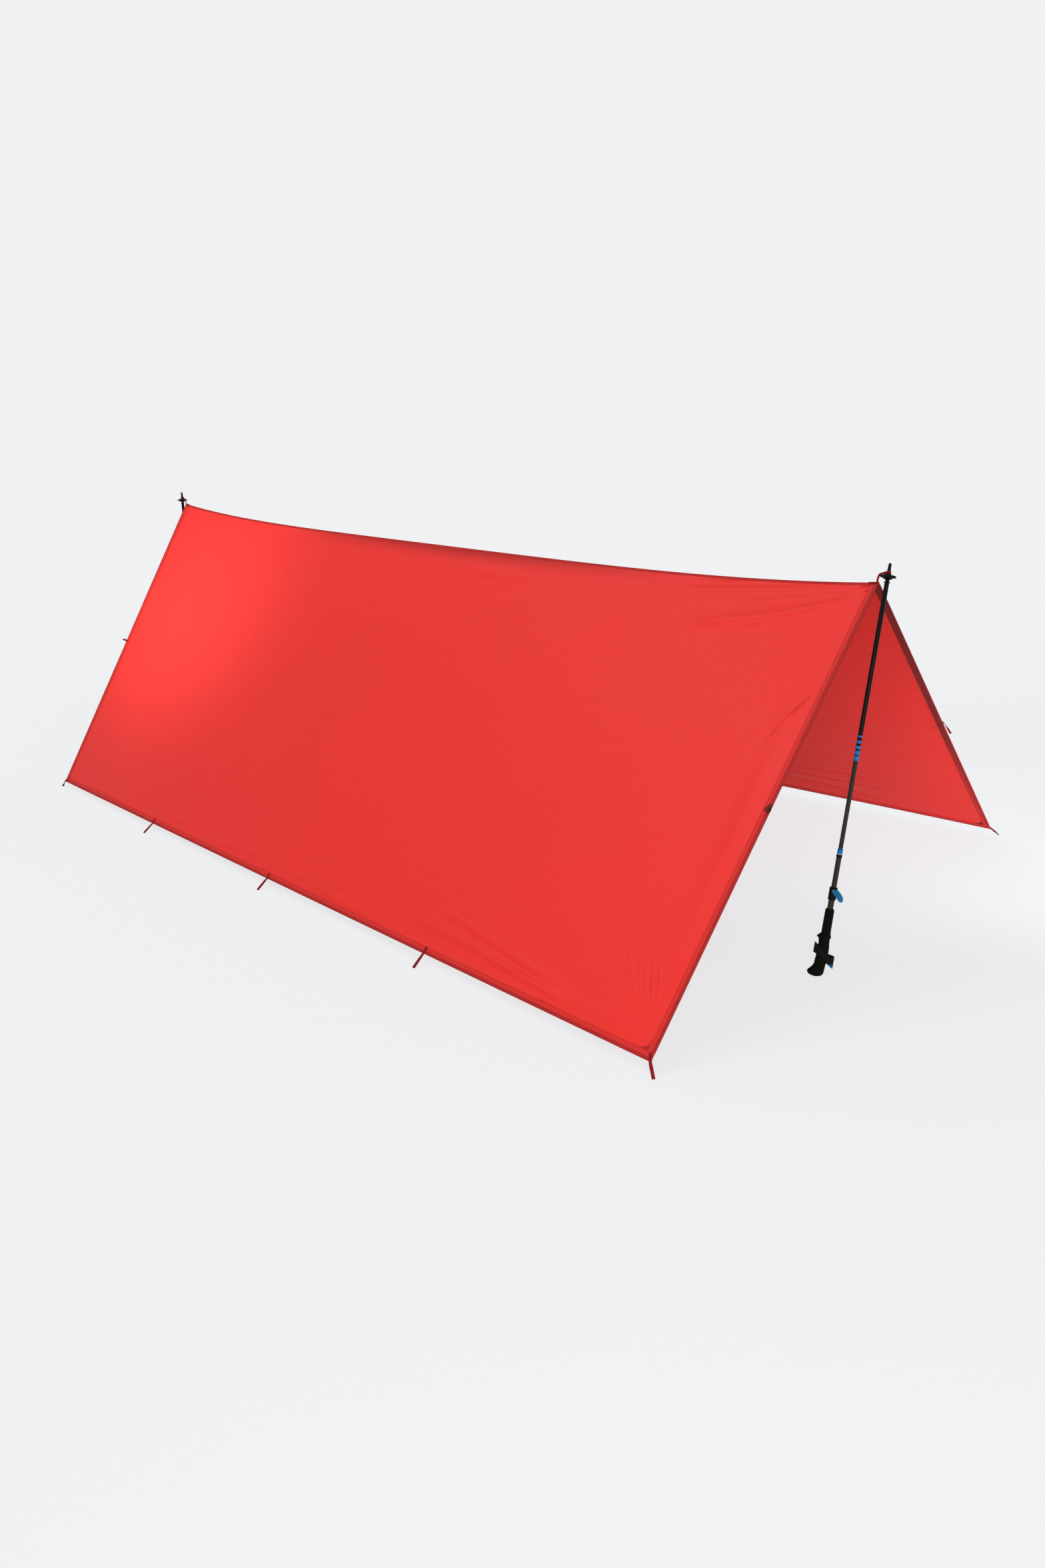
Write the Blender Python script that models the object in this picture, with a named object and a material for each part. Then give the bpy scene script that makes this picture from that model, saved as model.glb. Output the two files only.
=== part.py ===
"""Ridge tarp for camping, pitched on two trekking poles.

A flat 3.0 by 2.4 m sheet of coated ripstop hangs over its long centre seam as two sides, near and far.
Tape binds every edge, the corners carry reinforcing patches, and sixteen webbing loops take pegs, guy
lines and pole tips. X runs along the ridge towards the wide front mouth, Y across it with the near side
at -Y, and Z is up from the ground that the peg loops and the pole grips stand on.
"""

import math

import bmesh
import bpy
from mathutils import Matrix, Vector
from mathutils.geometry import tessellate_polygon

# Cloth, as it lies flat
TARP_LENGTH = 3.0
SIDE_WIDTH = 1.2
CLOTH_THICK = 0.0008
HEM_WIDTH = 0.018
HEM_TAPE = 0.0005
SEAM_LEG = 0.008
PATCH_LEG = 0.045
RIDGE_PATCH_LEG = 0.035
PATCH_THICK = 0.0006
GAP = 0.0003

# Pitch: where the ridge ends and the hem corners stand
RIDGE_BACK_X = 0.028
RIDGE_BACK_Z = 1.014
RIDGE_FRONT_X = 3.024
RIDGE_FRONT_Z = 0.889
RIDGE_SAG = 0.038
BACK_CORNER_X = 0.001
FRONT_CORNER_X = 2.995
NEAR_BACK_Y = -0.6765
NEAR_FRONT_Y = -0.8344
FAR_BACK_Y = 0.6790
FAR_FRONT_Y = 0.8340
NEAR_BACK_HEM_Z = 0.024
NEAR_FRONT_HEM_Z = 0.028
FAR_HEM_Z = 0.022
NEAR_HEM_BOW = -0.0015
FAR_HEM_BOW = 0.018
SIDE_SAG = 0.014

# Webbing loops. Those of the front edge: place down from its middle, heading, length, tail, manner
WEB_WIDTH = 0.0075
WEB_THICK = 0.0012
WEB_TAIL = 0.018
LOOP_LENGTH = 0.045
CORNER_LOOP_LENGTH = 0.035
BACK_EDGE_LOOP = 0.029
SHORT_TAIL = 0.010
NEAR_FRONT_EDGE_LOOP = (-0.010, 84, 0.022, SHORT_TAIL, "lying")
FAR_FRONT_EDGE_LOOP = (0.0, 0, 0.036, SHORT_TAIL, "hanging")
DROOP = math.radians(52)
LOOP_BORE = 0.0045
SMALL_LOOP_BORE = 0.0042
LOOP_START = 0.0015
GROUND_PRESS = 0.0004
POLE_LOOP_WIDTH = 0.005
POLE_LOOP_TAIL = 0.024
POLE_LOOP_LEG = 0.005
POLE_LOOP_PLAY = 0.0012
POLE_LOOP_ROOT = 0.004
POLE_LOOP_RISE = 0.021
POLE_LOOP_REACH = 0.030
POLE_LOOP_SPLIT = 0.35

# Trekking poles: the tip's place from the ridge end and the foot's on the ground, then places down from the tip
FRONT_TIP_FROM_RIDGE = (0.026, 0.0, 0.045)
FRONT_FOOT = (3.0462, -0.2591)
BACK_TIP_FROM_RIDGE = (-0.023, 0.0, 0.045)
BACK_FOOT = (-0.0450, -0.0300)
LOOP_FROM_TIP = 0.017
FERRULE_TOP_RADIUS = 0.0033
FERRULE_RADIUS = 0.0045
FERRULE_LENGTH = 0.058
FLANGE_DOWN = 0.043
FLANGE_RADIUS = 0.0083
BASKET_DOWN = 0.030
BASKET_RADIUS = 0.0192
LOWER_SHAFT_RADIUS = 0.0054
LOWER_SHAFT_END = 0.453
MIDDLE_SHAFT_RADIUS = 0.0051
MIDDLE_SHAFT_END = 0.662
STOP_RING_RADIUS = 0.0062
STOP_RING_END = 0.674
COLLAR_RADIUS = 0.0068
COLLAR_END = 0.681
UPPER_SHAFT_RADIUS = 0.0060
UPPER_SHAFT_END = 0.908
SHAFT_HOLD = 0.030

# Pole handle, measured up from the end that stands on the ground
TUBE_WALL = 0.00055
TUBE_FLOOR = 0.022
CLAMP_LOW = 0.186
CLAMP_HEIGHT = 0.030
CLAMP_WALL = 0.0021
CLAMP_LIP = 0.0017
LEVER_PIN_RADIUS = 0.0012
LEVER_HEAD_RADIUS = 0.0030
LEVER_HEAD_WIDTH = 0.0050
LEVER_LENGTH = 0.0255
LEVER_THICK = 0.0030
LEVER_LEAN = math.radians(22)
LEVER_TURN = math.radians(-45)
WING = (
    (-0.075, -0.0085, 0.0050, 0.0020), (0.12, -0.0085, 0.0095, 0.0028), (0.35, -0.0040, 0.0140, 0.0028),
    (0.62, 0.0015, 0.0175, 0.0026), (0.88, 0.0070, 0.0175, 0.0022), (1.00, 0.0095, 0.0155, 0.0016),
)
EAR_WALL = 0.0020
PIN_BELOW_CLAMP_TOP = 0.0060
FOAM_LOW = 0.1133
FOAM_HIGH = 0.164
FOAM_RADIUS = 0.0103
GRIP_HIGH = 0.113
GRIP_WAIST = 0.0140
STRAP_WIDTH = 0.014
STRAP_THICK = 0.0016
STRAP_HEIGHT = 0.052
STRAP_RISE = 0.016
STRAP_FRONT_BULGE = 0.0050
STRAP_BACK_BULGE = 0.0120
FORWARD_TURN = math.radians(225)

# Counts
LONG_CELLS = 28
WIDE_CELLS = 12
ROUND = 16
BASKET_ROUND = 20
ARC_CELLS = 10
TRACK_STEPS = 24
STRAP_CELLS = 28
PATCH_CELLS = 5
LEG_CELLS = 3

# Main folds of the pitched cloth: start along and down the side, heading, length, half width, height
NEAR_FOLDS = (
    (2.92, 0.030, 174, 0.60, 0.022, 0.0050),
    (2.94, 0.060, 168, 0.50, 0.026, 0.0045),
    (2.78, 1.155, 184, 0.70, 0.030, 0.0050),
    (1.50, 1.165, 179, 0.45, 0.026, 0.0040),
    (2.95, 0.420, 87, 0.55, 0.026, 0.0040),
)
FAR_FOLDS = (
    (2.92, 0.040, 175, 0.60, 0.024, 0.0045),
    (2.75, 1.150, 184, 0.70, 0.030, 0.0050),
    (0.40, 1.150, -3, 0.60, 0.030, 0.0045),
)


def clear_scene():
    for obj in list(bpy.data.objects):
        bpy.data.objects.remove(obj, do_unlink=True)


def material(name, colour, roughness, metallic=0.0):
    made = bpy.data.materials.get(name)
    if made:
        return made
    made = bpy.data.materials.new(name)
    made.use_nodes = True
    shader = made.node_tree.nodes["Principled BSDF"]
    shader.inputs["Base Color"].default_value = (*colour, 1.0)
    shader.inputs["Roughness"].default_value = roughness
    shader.inputs["Metallic"].default_value = metallic
    made.diffuse_color = (*colour, 1.0)
    return made


def ripstop():
    return material("red_ripstop", (0.78, 0.045, 0.035), 0.55)


def binding():
    return material("dark_red_binding", (0.50, 0.02, 0.02), 0.65)


def webbing():
    return material("maroon_webbing", (0.18, 0.015, 0.02), 0.80)


def black_plastic():
    return material("black_plastic", (0.015, 0.015, 0.012), 0.45)


def strap_web():
    return material("black_strap", (0.02, 0.02, 0.02), 0.8)


def black_tube():
    return material("black_tube", (0.012, 0.013, 0.012), 0.35, 0.3)


def grey_tube():
    return material("olive_grey_tube", (0.05, 0.048, 0.038), 0.35, 0.5)


def blue_metal():
    return material("blue_anodised", (0.01, 0.16, 0.42), 0.35, 0.6)


def foam():
    return material("black_foam", (0.012, 0.012, 0.009), 0.90)


def place_empty(name, matrix, parent=None):
    """A joint's empty; pieces that move with it hang from it and keep their place."""
    holder = bpy.data.objects.new(name, None)
    holder.empty_display_size = 0.05
    bpy.context.scene.collection.objects.link(holder)
    if parent:
        holder.parent = parent
        holder.matrix_parent_inverse = parent.matrix_world.inverted()
    holder.matrix_world = matrix
    bpy.context.view_layer.update()
    return holder


def finish_mesh(name, build, look, parent, matrix=Matrix()):
    """Makes the object from a bmesh with its faces out, shaded smooth below 35 degrees."""
    bmesh.ops.remove_doubles(build, verts=build.verts, dist=1e-7)
    bmesh.ops.recalc_face_normals(build, faces=build.faces)
    mesh = bpy.data.meshes.new(name)
    build.to_mesh(mesh)
    build.free()
    mesh.materials.append(look)
    mesh.shade_smooth()
    mesh.set_sharp_from_angle(angle=math.radians(35))
    obj = bpy.data.objects.new(name, mesh)
    bpy.context.scene.collection.objects.link(obj)
    obj.parent = parent
    if parent:
        obj.matrix_parent_inverse = parent.matrix_world.inverted()
    obj.matrix_world = matrix
    return obj


def loft(name, rings, look, parent, matrix=Matrix()):
    """A closed solid through rings of equally many points, with a flat cap on each end."""
    build = bmesh.new()
    made = [[build.verts.new(point) for point in ring] for ring in rings]
    count = len(made[0])
    for low, high in zip(made, made[1:]):
        for k in range(count):
            after = (k + 1) % count
            build.faces.new((low[k], high[k], high[after], low[after]))
    build.faces.new(made[0])
    build.faces.new(list(reversed(made[-1])))
    return finish_mesh(name, build, look, parent, matrix)


def turned(name, profile, look, parent, matrix=Matrix(), steps=ROUND):
    """Spins an outline of radius and height about the local Z axis."""
    build = bmesh.new()
    points = [build.verts.new((radius, 0.0, height)) for radius, height in profile]
    edges = [build.edges.new(pair) for pair in zip(points, points[1:])]
    if profile[0][0] > 0:
        edges.append(build.edges.new((points[-1], points[0])))
    bmesh.ops.spin(
        build, geom=points + edges, cent=(0, 0, 0), axis=(0, 0, 1), angle=math.tau, steps=steps, use_merge=True
    )
    return finish_mesh(name, build, look, parent, matrix)


def prism(name, outlines, place, half_width, look, parent, matrix=Matrix()):
    """Extrudes an outline, with holes, both ways from its middle, through a placing function."""
    flat = [point for outline in outlines for point in outline]
    cap = tessellate_polygon([[Vector((s, n, 0.0)) for s, n in outline] for outline in outlines])
    build = bmesh.new()
    low = [build.verts.new(place(s, n, -half_width)) for s, n in flat]
    high = [build.verts.new(place(s, n, half_width)) for s, n in flat]
    for a, b, c in cap:
        build.faces.new((low[a], low[b], low[c]))
        build.faces.new((high[c], high[b], high[a]))
    start = 0
    for outline in outlines:
        for k in range(len(outline)):
            first = start + k
            second = start + (k + 1) % len(outline)
            build.faces.new((low[first], high[first], high[second], low[second]))
        start += len(outline)
    return finish_mesh(name, build, look, parent, matrix)


def combine(obj, tool, operation):
    """Joins a second shape to an object, or cuts it away, and keeps it as a hidden tool."""
    tool.hide_render = True
    tool.display_type = "WIRE"
    step = obj.modifiers.new(tool.name, "BOOLEAN")
    step.operation = operation
    step.object = tool
    step.solver = "EXACT"
    return obj


def spaced(cells):
    """Shares from 0 to 1 that lie closer together towards both ends."""
    shares = [k / cells for k in range(cells + 1)]
    return [share - 0.11 * math.sin(math.tau * share) for share in shares]


def stations(low, high, cells, edge_low=0.0, edge_high=0.0):
    """Places between two edges, with one extra place at the inner line of each bound edge."""
    inner_low = low + edge_low
    inner_high = high - edge_high
    inside = [inner_low + (inner_high - inner_low) * share for share in spaced(cells)]
    return ([low] if edge_low else []) + inside + ([high] if edge_high else [])


class Side:
    """One side of the canopy: turns places on the flat cloth into places on the pitched surface."""

    def __init__(self, name, sign, back_corner, front_corner, bow, folds):
        self.name = name
        self.sign = sign
        self.back_corner = Vector(back_corner)
        self.front_corner = Vector(front_corner)
        self.bow = bow
        self.folds = folds

    def ridge(self, along):
        """The sagging ridge line, flat in its middle and steep at its ends."""
        share = along / TARP_LENGTH
        back = Vector((RIDGE_BACK_X, 0.0, RIDGE_BACK_Z))
        front = Vector((RIDGE_FRONT_X, 0.0, RIDGE_FRONT_Z))
        sag = RIDGE_SAG * max(0.0, 1.0 - abs(2.0 * share - 1.0) ** 4)
        return back.lerp(front, share) - Vector((0.0, 0.0, sag))

    def hem(self, along):
        share = along / TARP_LENGTH
        bow = self.bow * max(0.0, 4.0 * share * (1.0 - share))
        return self.back_corner.lerp(self.front_corner, share) + Vector((0.0, 0.0, bow))

    def plain(self, along, down):
        return self.ridge(along).lerp(self.hem(along), down / SIDE_WIDTH)

    def plain_normal(self, along, down):
        step = 0.002
        along_way = self.plain(along + step, down) - self.plain(along - step, down)
        down_way = self.plain(along, down + step) - self.plain(along, down - step)
        return (along_way.cross(down_way) * self.sign).normalized()

    def relief(self, along, down):
        """Height of the taut side's hollow and its main folds, none of them on the bound edges."""
        share_along = (along - HEM_WIDTH) / (TARP_LENGTH - 2.0 * HEM_WIDTH)
        share_down = (down - SEAM_LEG) / (SIDE_WIDTH - HEM_WIDTH - SEAM_LEG)
        if not (0.0 < share_along < 1.0 and 0.0 < share_down < 1.0):
            return 0.0
        bulge = math.sin(math.pi * share_along) * math.sin(math.pi * share_down)
        height = -SIDE_SAG * bulge
        inside = min(1.0, 9.0 * min(share_along, 1.0 - share_along), 9.0 * min(share_down, 1.0 - share_down))
        for start, drop, heading, length, half_width, rise in self.folds:
            angle = math.radians(heading)
            ahead = (along - start) * math.cos(angle) + (down - drop) * math.sin(angle)
            aside = (down - drop) * math.cos(angle) - (along - start) * math.sin(angle)
            if 0.0 < ahead < length:
                spread = half_width * (0.5 + ahead / length)
                fade = math.sin(math.pi * math.sqrt(ahead / length))
                height += rise * inside * fade * math.exp(-((aside / spread) ** 2))
        return height

    def middle(self, along, down):
        return self.plain(along, down) + self.plain_normal(along, down) * self.relief(along, down)

    def normal(self, along, down):
        step = 0.004
        along_way = self.middle(along + step, down) - self.middle(along - step, down)
        down_way = self.middle(along, down + step) - self.middle(along, down - step)
        return (along_way.cross(down_way) * self.sign).normalized()

    def place(self, along, down, out):
        """The point at a distance out of the cloth's middle layer."""
        return self.middle(along, down) + self.normal(along, down) * out


def apex(side, along, out):
    """The point over the ridge line where the two sides' layers at one distance meet."""
    return side.ridge(along) + Vector((0.0, 0.0, out / side.plain_normal(along, 0.0).z))


def roof_rings(near, far, along_list, leg, low, high):
    """Rings of a strip folded over the ridge, between two distances out of the cloth."""
    return [
        [
            near.place(along, leg, high),
            apex(near, along, high),
            far.place(along, leg, high),
            far.place(along, leg, low),
            apex(near, along, low),
            near.place(along, leg, low),
        ]
        for along in along_list
    ]


def cloth_sheet(name, side, along_list, down_list, low, high, look, parent):
    """A sheet of even thickness: a grid laid on its lower surface, extruded to its upper one."""
    build = bmesh.new()
    cell = build.verts.layers.int.new("cell")
    wide = len(down_list)
    grid = []
    for i, along in enumerate(along_list):
        for j, down in enumerate(down_list):
            vert = build.verts.new(side.place(along, down, low))
            vert[cell] = i * wide + j
            grid.append(vert)
    for i in range(len(along_list) - 1):
        for j in range(wide - 1):
            first = i * wide + j
            build.faces.new((grid[first], grid[first + wide], grid[first + wide + 1], grid[first + 1]))
    raised = bmesh.ops.extrude_face_region(build, geom=build.faces[:])["geom"]
    for vert in raised:
        if isinstance(vert, bmesh.types.BMVert):
            i, j = divmod(vert[cell], wide)
            vert.co = side.place(along_list[i], down_list[j], high)
    return finish_mesh(name, build, look, parent)


def hem_profile(width, clear):
    """Cross-section of tape folded round a cloth edge: distance in from the edge, and out of the cloth."""
    inner = CLOTH_THICK / 2 + GAP
    outer = inner + HEM_TAPE
    return [
        (width, inner), (-clear, inner), (-clear, -inner), (width, -inner),
        (width, -outer), (-clear - HEM_TAPE, -outer), (-clear - HEM_TAPE, outer), (width, outer),
    ]


def build_side(side, parent):
    """The cloth, its three bound edges and its four inner corner patches."""
    look = ripstop()
    top = SEAM_LEG + GAP
    inner_bottom = SIDE_WIDTH - HEM_WIDTH
    along_list = stations(0.0, TARP_LENGTH, LONG_CELLS, HEM_WIDTH, HEM_WIDTH)
    down_list = stations(top, SIDE_WIDTH, WIDE_CELLS, 0.0, HEM_WIDTH)
    half = CLOTH_THICK / 2
    cloth_sheet(f"{side.name}_panel", side, along_list, down_list, -half, half, look, parent)

    profile = hem_profile(HEM_WIDTH, GAP)
    lower = [[side.place(along, SIDE_WIDTH - inward, out) for inward, out in profile] for along in along_list]
    loft(f"{side.name}_lower_hem", lower, binding(), parent)
    hem_downs = [down for down in down_list if down < inner_bottom - GAP] + [inner_bottom - GAP]
    for end, edge, turn in (("back", 0.0, 1.0), ("front", TARP_LENGTH, -1.0)):
        rings = [[side.place(edge + turn * inward, down, out) for inward, out in profile] for down in hem_downs]
        loft(f"{side.name}_{end}_hem", rings, binding(), parent)
        patch(side, f"{side.name}_{end}_corner_patch", edge, turn, inner_bottom, -1.0, PATCH_LEG, parent)
        patch(side, f"{side.name}_{end}_ridge_patch", edge, turn, top, 1.0, RIDGE_PATCH_LEG, parent)


def patch(side, name, edge, turn, level, rise, leg, parent):
    """A three-cornered reinforcing patch on the inner face, fitted between the bound edges."""
    outer = -CLOTH_THICK / 2 - GAP
    start = HEM_WIDTH + GAP
    cells = PATCH_CELLS
    build = bmesh.new()
    layers = []
    for out in (outer, outer - PATCH_THICK):
        rows = []
        for i in range(cells + 1):
            count = cells - i
            row = []
            for j in range(count + 1):
                along = edge + turn * (start + leg * i / cells)
                down = level + rise * (GAP + leg * j / cells)
                row.append(build.verts.new(side.place(along, down, out)))
            rows.append(row)
        layers.append(rows)
    for rows in layers:
        for i in range(cells):
            for j in range(cells - i):
                build.faces.new((rows[i][j], rows[i + 1][j], rows[i][j + 1]))
                if j < cells - i - 1:
                    build.faces.new((rows[i + 1][j], rows[i + 1][j + 1], rows[i][j + 1]))
    top_rows, low_rows = layers
    for i in range(cells):
        build.faces.new((top_rows[i][0], top_rows[i + 1][0], low_rows[i + 1][0], low_rows[i][0]))
        build.faces.new((top_rows[0][i], top_rows[0][i + 1], low_rows[0][i + 1], low_rows[0][i]))
        build.faces.new((top_rows[i][-1], top_rows[i + 1][-1], low_rows[i + 1][-1], low_rows[i][-1]))
    return finish_mesh(name, build, binding(), parent)


def loop_outlines(length, tail, level, bore, lying):
    """Side view of folded webbing: a flat tail, then two legs round a bore; length and height out.

    A lying loop keeps its lower leg flat and arches only the upper one.
    """
    half = WEB_THICK / 2
    outer_radius = bore + WEB_THICK
    centre = length - outer_radius
    start = LOOP_START + WEB_THICK
    rise = bore if lying else 0.0
    base = level + half if lying else level
    run = centre - start
    tilt = math.atan2(rise, run)
    reach = math.pi - math.acos(bore / math.hypot(run, rise))
    angles = [tilt + reach - 2.0 * reach * k / ARC_CELLS for k in range(ARC_CELLS + 1)]
    middle = base + rise

    def leg(first, last, cells):
        """Points between two corners, both left out."""
        return [tuple(Vector(first).lerp(Vector(last), k / cells)) for k in range(1, cells)]

    arc = [(centre + bore * math.cos(t), middle + bore * math.sin(t)) for t in angles]
    hole = [(start, base)] + leg((start, base), arc[0], LEG_CELLS) + arc + leg(arc[-1], (start, base), LEG_CELLS)
    rim = [(centre + outer_radius * math.cos(t), middle + outer_radius * math.sin(t)) for t in angles]
    top = (-2.0 * WEB_THICK if lying else LOOP_START, level + half)
    low = (LOOP_START, level - half)
    outside = [(-tail, level + half), top] + leg(top, rim[0], LEG_CELLS) + rim
    outside += leg(rim[-1], low, LEG_CELLS) + [low, (-tail, level - half)]
    return [outside, hole], centre


def level_across(way):
    """The level direction across a way."""
    return way.cross(Vector((0.0, 0.0, 1.0))).normalized()


def edge_loop(name, side, along, down, heading, length, tail, manner, parent):
    """A webbing loop sewn on the outer face at a cloth edge and pointing outwards from it.

    The heading is an angle on the flat cloth, 0 towards the front and 90 degrees away from the ridge.
    A pegged loop is tilted until its round end lies on the ground, pressed flat. A straight one stands
    out in line with the cloth, a hanging one droops, and each of these turns level towards its end.
    A lying one rests on the hem.
    """
    level = CLOTH_THICK / 2 + GAP + HEM_TAPE + GAP + WEB_THICK / 2
    bore = SMALL_LOOP_BORE if manner == "lying" else LOOP_BORE
    outlines, centre = loop_outlines(length, tail, level, bore, manner == "lying")
    angle = math.radians(heading)
    ahead = Vector((math.cos(angle), math.sin(angle)))
    aside = Vector((-ahead.y, ahead.x))

    def on_cloth(s, n, w):
        return side.place(along + ahead.x * s + aside.x * w, down + ahead.y * s + aside.y * w, n)

    root = on_cloth(LOOP_START, 0.0, 0.0)
    out_way = side.normal(along, down)
    way = root - on_cloth(-LOOP_START, 0.0, 0.0)
    way = (way - out_way * way.dot(out_way)).normalized()
    across = way.cross(out_way)
    if across.dot(on_cloth(0.0, 0.0, LOOP_START) - on_cloth(0.0, 0.0, 0.0)) < 0:
        across.negate()
    far_way = way
    if manner == "pegged":
        far_way = ground_way(root, way, out_way, centre - LOOP_START, level)
    elif manner == "hanging":
        far_way = (way * math.cos(DROOP) - Vector((0.0, 0.0, math.sin(DROOP)))).normalized()
    far_across = across if manner == "lying" else level_across(far_way)
    if far_across.dot(across) < 0:
        far_across.negate()
    handed = 1.0 if across.cross(far_way).dot(out_way) > 0 else -1.0

    def place(s, n, w):
        if s <= LOOP_START + 1e-9:
            return on_cloth(s, n, w)
        share = min(1.0, (s - LOOP_START) / (centre - LOOP_START))
        side_way = across.lerp(far_across, share)
        side_way = (side_way - far_way * side_way.dot(far_way)).normalized()
        point = root + far_way * (s - LOOP_START) + side_way.cross(far_way) * (n * handed) + side_way * w
        point.z = max(point.z, 0.0)
        return point

    return prism(name, outlines, place, WEB_WIDTH / 2, webbing(), parent)


def ground_way(root, way, out_way, reach, level):
    """The way a loop points when the middle of its round end is just low enough to lie on the ground."""
    goal = LOOP_BORE + WEB_THICK - GROUND_PRESS
    low, high = math.radians(-70), math.radians(70)
    for _ in range(50):
        tilt = (low + high) / 2
        far_way = way * math.cos(tilt) + out_way * math.sin(tilt)
        lift_way = level_across(far_way).cross(far_way)
        if (root + far_way * reach).z + abs(lift_way.z) * level > goal:
            high = tilt
        else:
            low = tilt
    return far_way


def build_edge_loops(side, front_edge_loop, parent):
    """Corner loops at 45 degrees, three hem loops a quarter of the length apart, one on each short edge."""
    quarter = TARP_LENGTH / 4
    half = SIDE_WIDTH / 2
    lower, *front_edge = front_edge_loop
    loops = (
        ("back_corner", 0.0, SIDE_WIDTH, 135, CORNER_LOOP_LENGTH, WEB_TAIL, "pegged"),
        ("back_hem", quarter, SIDE_WIDTH, 90, LOOP_LENGTH, WEB_TAIL, "pegged"),
        ("middle_hem", 2 * quarter, SIDE_WIDTH, 90, LOOP_LENGTH, WEB_TAIL, "pegged"),
        ("front_hem", 3 * quarter, SIDE_WIDTH, 90, LOOP_LENGTH, WEB_TAIL, "pegged"),
        ("front_corner", TARP_LENGTH, SIDE_WIDTH, 45, CORNER_LOOP_LENGTH, WEB_TAIL, "pegged"),
        ("back_edge", 0.0, half, 180, BACK_EDGE_LOOP, SHORT_TAIL, "straight"),
        ("front_edge", TARP_LENGTH, half + lower, *front_edge),
    )
    for name, along, down, heading, length, tail, manner in loops:
        edge_loop(f"{side.name}_{name}_loop", side, along, down, heading, length, tail, manner, parent)


class Pole:
    """The placing of one trekking pole: tip up, grip on the ground, leaning a little."""

    def __init__(self, name, tip, foot, outward):
        self.name = name
        self.tip = Vector(tip)
        self.outward = outward
        self.up = (self.tip - Vector((*foot, 0.0))).normalized()
        self.across = self.up.cross(Vector((1.0, 0.0, 0.0))).normalized()
        self.ahead = self.across.cross(self.up).normalized()
        self.pivot = self.tip - self.up * LOOP_FROM_TIP

    def frame(self, origin, turn=0.0):
        """A matrix with its Z axis up the pole, turned about it."""
        axes = Matrix((self.ahead, self.across, self.up)).transposed().to_4x4()
        return Matrix.Translation(origin) @ axes @ Matrix.Rotation(turn, 4, "Z")


def ferrule_radius(down):
    """The pole tip's radius, which grows evenly from its rounded end down to the basket."""
    return FERRULE_TOP_RADIUS + (FERRULE_RADIUS - FERRULE_TOP_RADIUS) * min(1.0, down / BASKET_DOWN)


def pole_loop(name, near, far, pole, end_along, parent):
    """The webbing loop at one ridge end: a tail folded over the seam, then two legs round the pole tip."""
    inward = -1.0 if end_along > 0 else 1.0
    low = CLOTH_THICK / 2 + GAP
    high = low + WEB_THICK
    tail_list = [end_along + inward * POLE_LOOP_TAIL * k / 4 for k in range(5)]
    rings = roof_rings(near, far, tail_list, POLE_LOOP_LEG, low, high)
    tail = loft(name, rings, webbing(), parent)

    start = apex(near, end_along + inward * POLE_LOOP_ROOT, (low + high) / 2)
    lift = Vector((0.0, 0.0, POLE_LOOP_RISE))
    over = Vector((pole.outward * POLE_LOOP_REACH, 0.0, 0.0))
    knots = (start, start + lift, pole.pivot - over, pole.pivot)
    steps = TRACK_STEPS
    track = [bezier(knots, k / steps) for k in range(steps + 1)]
    travelled = [0.0]
    for first, second in zip(track, track[1:]):
        travelled.append(travelled[-1] + (second - first).length)
    total = travelled[-1]

    def place(s, n, w):
        at = min(max(s, 0.0), total)
        k = max(i for i in range(steps) if travelled[i] <= at)
        part = (at - travelled[k]) / (travelled[k + 1] - travelled[k])
        way = (track[k + 1] - track[k]).normalized()
        point = track[k].lerp(track[k + 1], part) + way * (s - at)
        aside = Vector((0.0, 1.0, 0.0)).lerp(pole.across, at / total)
        aside = (aside - way * aside.dot(way)).normalized()
        return point + aside * n + way.cross(aside) * w

    half_gap = ferrule_radius(LOOP_FROM_TIP + POLE_LOOP_WIDTH) + GAP
    centre = total + POLE_LOOP_PLAY
    split = total * POLE_LOOP_SPLIT
    reach = math.pi - math.acos(half_gap / (centre - split))
    angles = [reach - 2.0 * reach * k / ARC_CELLS for k in range(ARC_CELLS + 1)]
    outer = half_gap + WEB_THICK
    legs = LEG_CELLS + 1
    top = (centre + half_gap * math.cos(angles[0]), half_gap * math.sin(angles[0]))
    bore = [(split, 0.0)]
    bore += [(split + (top[0] - split) * k / legs, top[1] * k / legs) for k in range(1, legs)]
    bore += [(centre + half_gap * math.cos(t), half_gap * math.sin(t)) for t in angles]
    bore += [(split + (top[0] - split) * k / legs, -top[1] * k / legs) for k in range(legs - 1, 0, -1)]
    rim = (centre + outer * math.cos(angles[0]), outer * math.sin(angles[0]))
    climb = [k / (2 * legs) for k in range(2 * legs)]
    start_share = split / rim[0]
    outside = []
    for share in climb:
        opened = max(0.0, (share - start_share) / (1.0 - start_share))
        outside.append((rim[0] * share, WEB_THICK + (rim[1] - WEB_THICK) * opened))
    outside += [(centre + outer * math.cos(t), outer * math.sin(t)) for t in angles]
    outside += [(s, -n) for s, n in reversed(outside[: len(climb)])]
    ring = prism(f"{name}_ring", [outside, bore], place, POLE_LOOP_WIDTH / 2, webbing(), parent)
    return combine(tail, ring, "UNION")


def bezier(knots, t):
    a, b, c, d = knots
    s = 1.0 - t
    return a * s**3 + b * (3 * s * s * t) + c * (3 * s * t * t) + d * t**3


def cylinder(radius, low, high, edge=0.0004):
    """Outline of a solid round bar between two heights, with its rims eased."""
    return [
        (0.0, high), (radius - edge, high), (radius, high - edge),
        (radius, low + edge), (radius - edge, low), (0.0, low),
    ]


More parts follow.
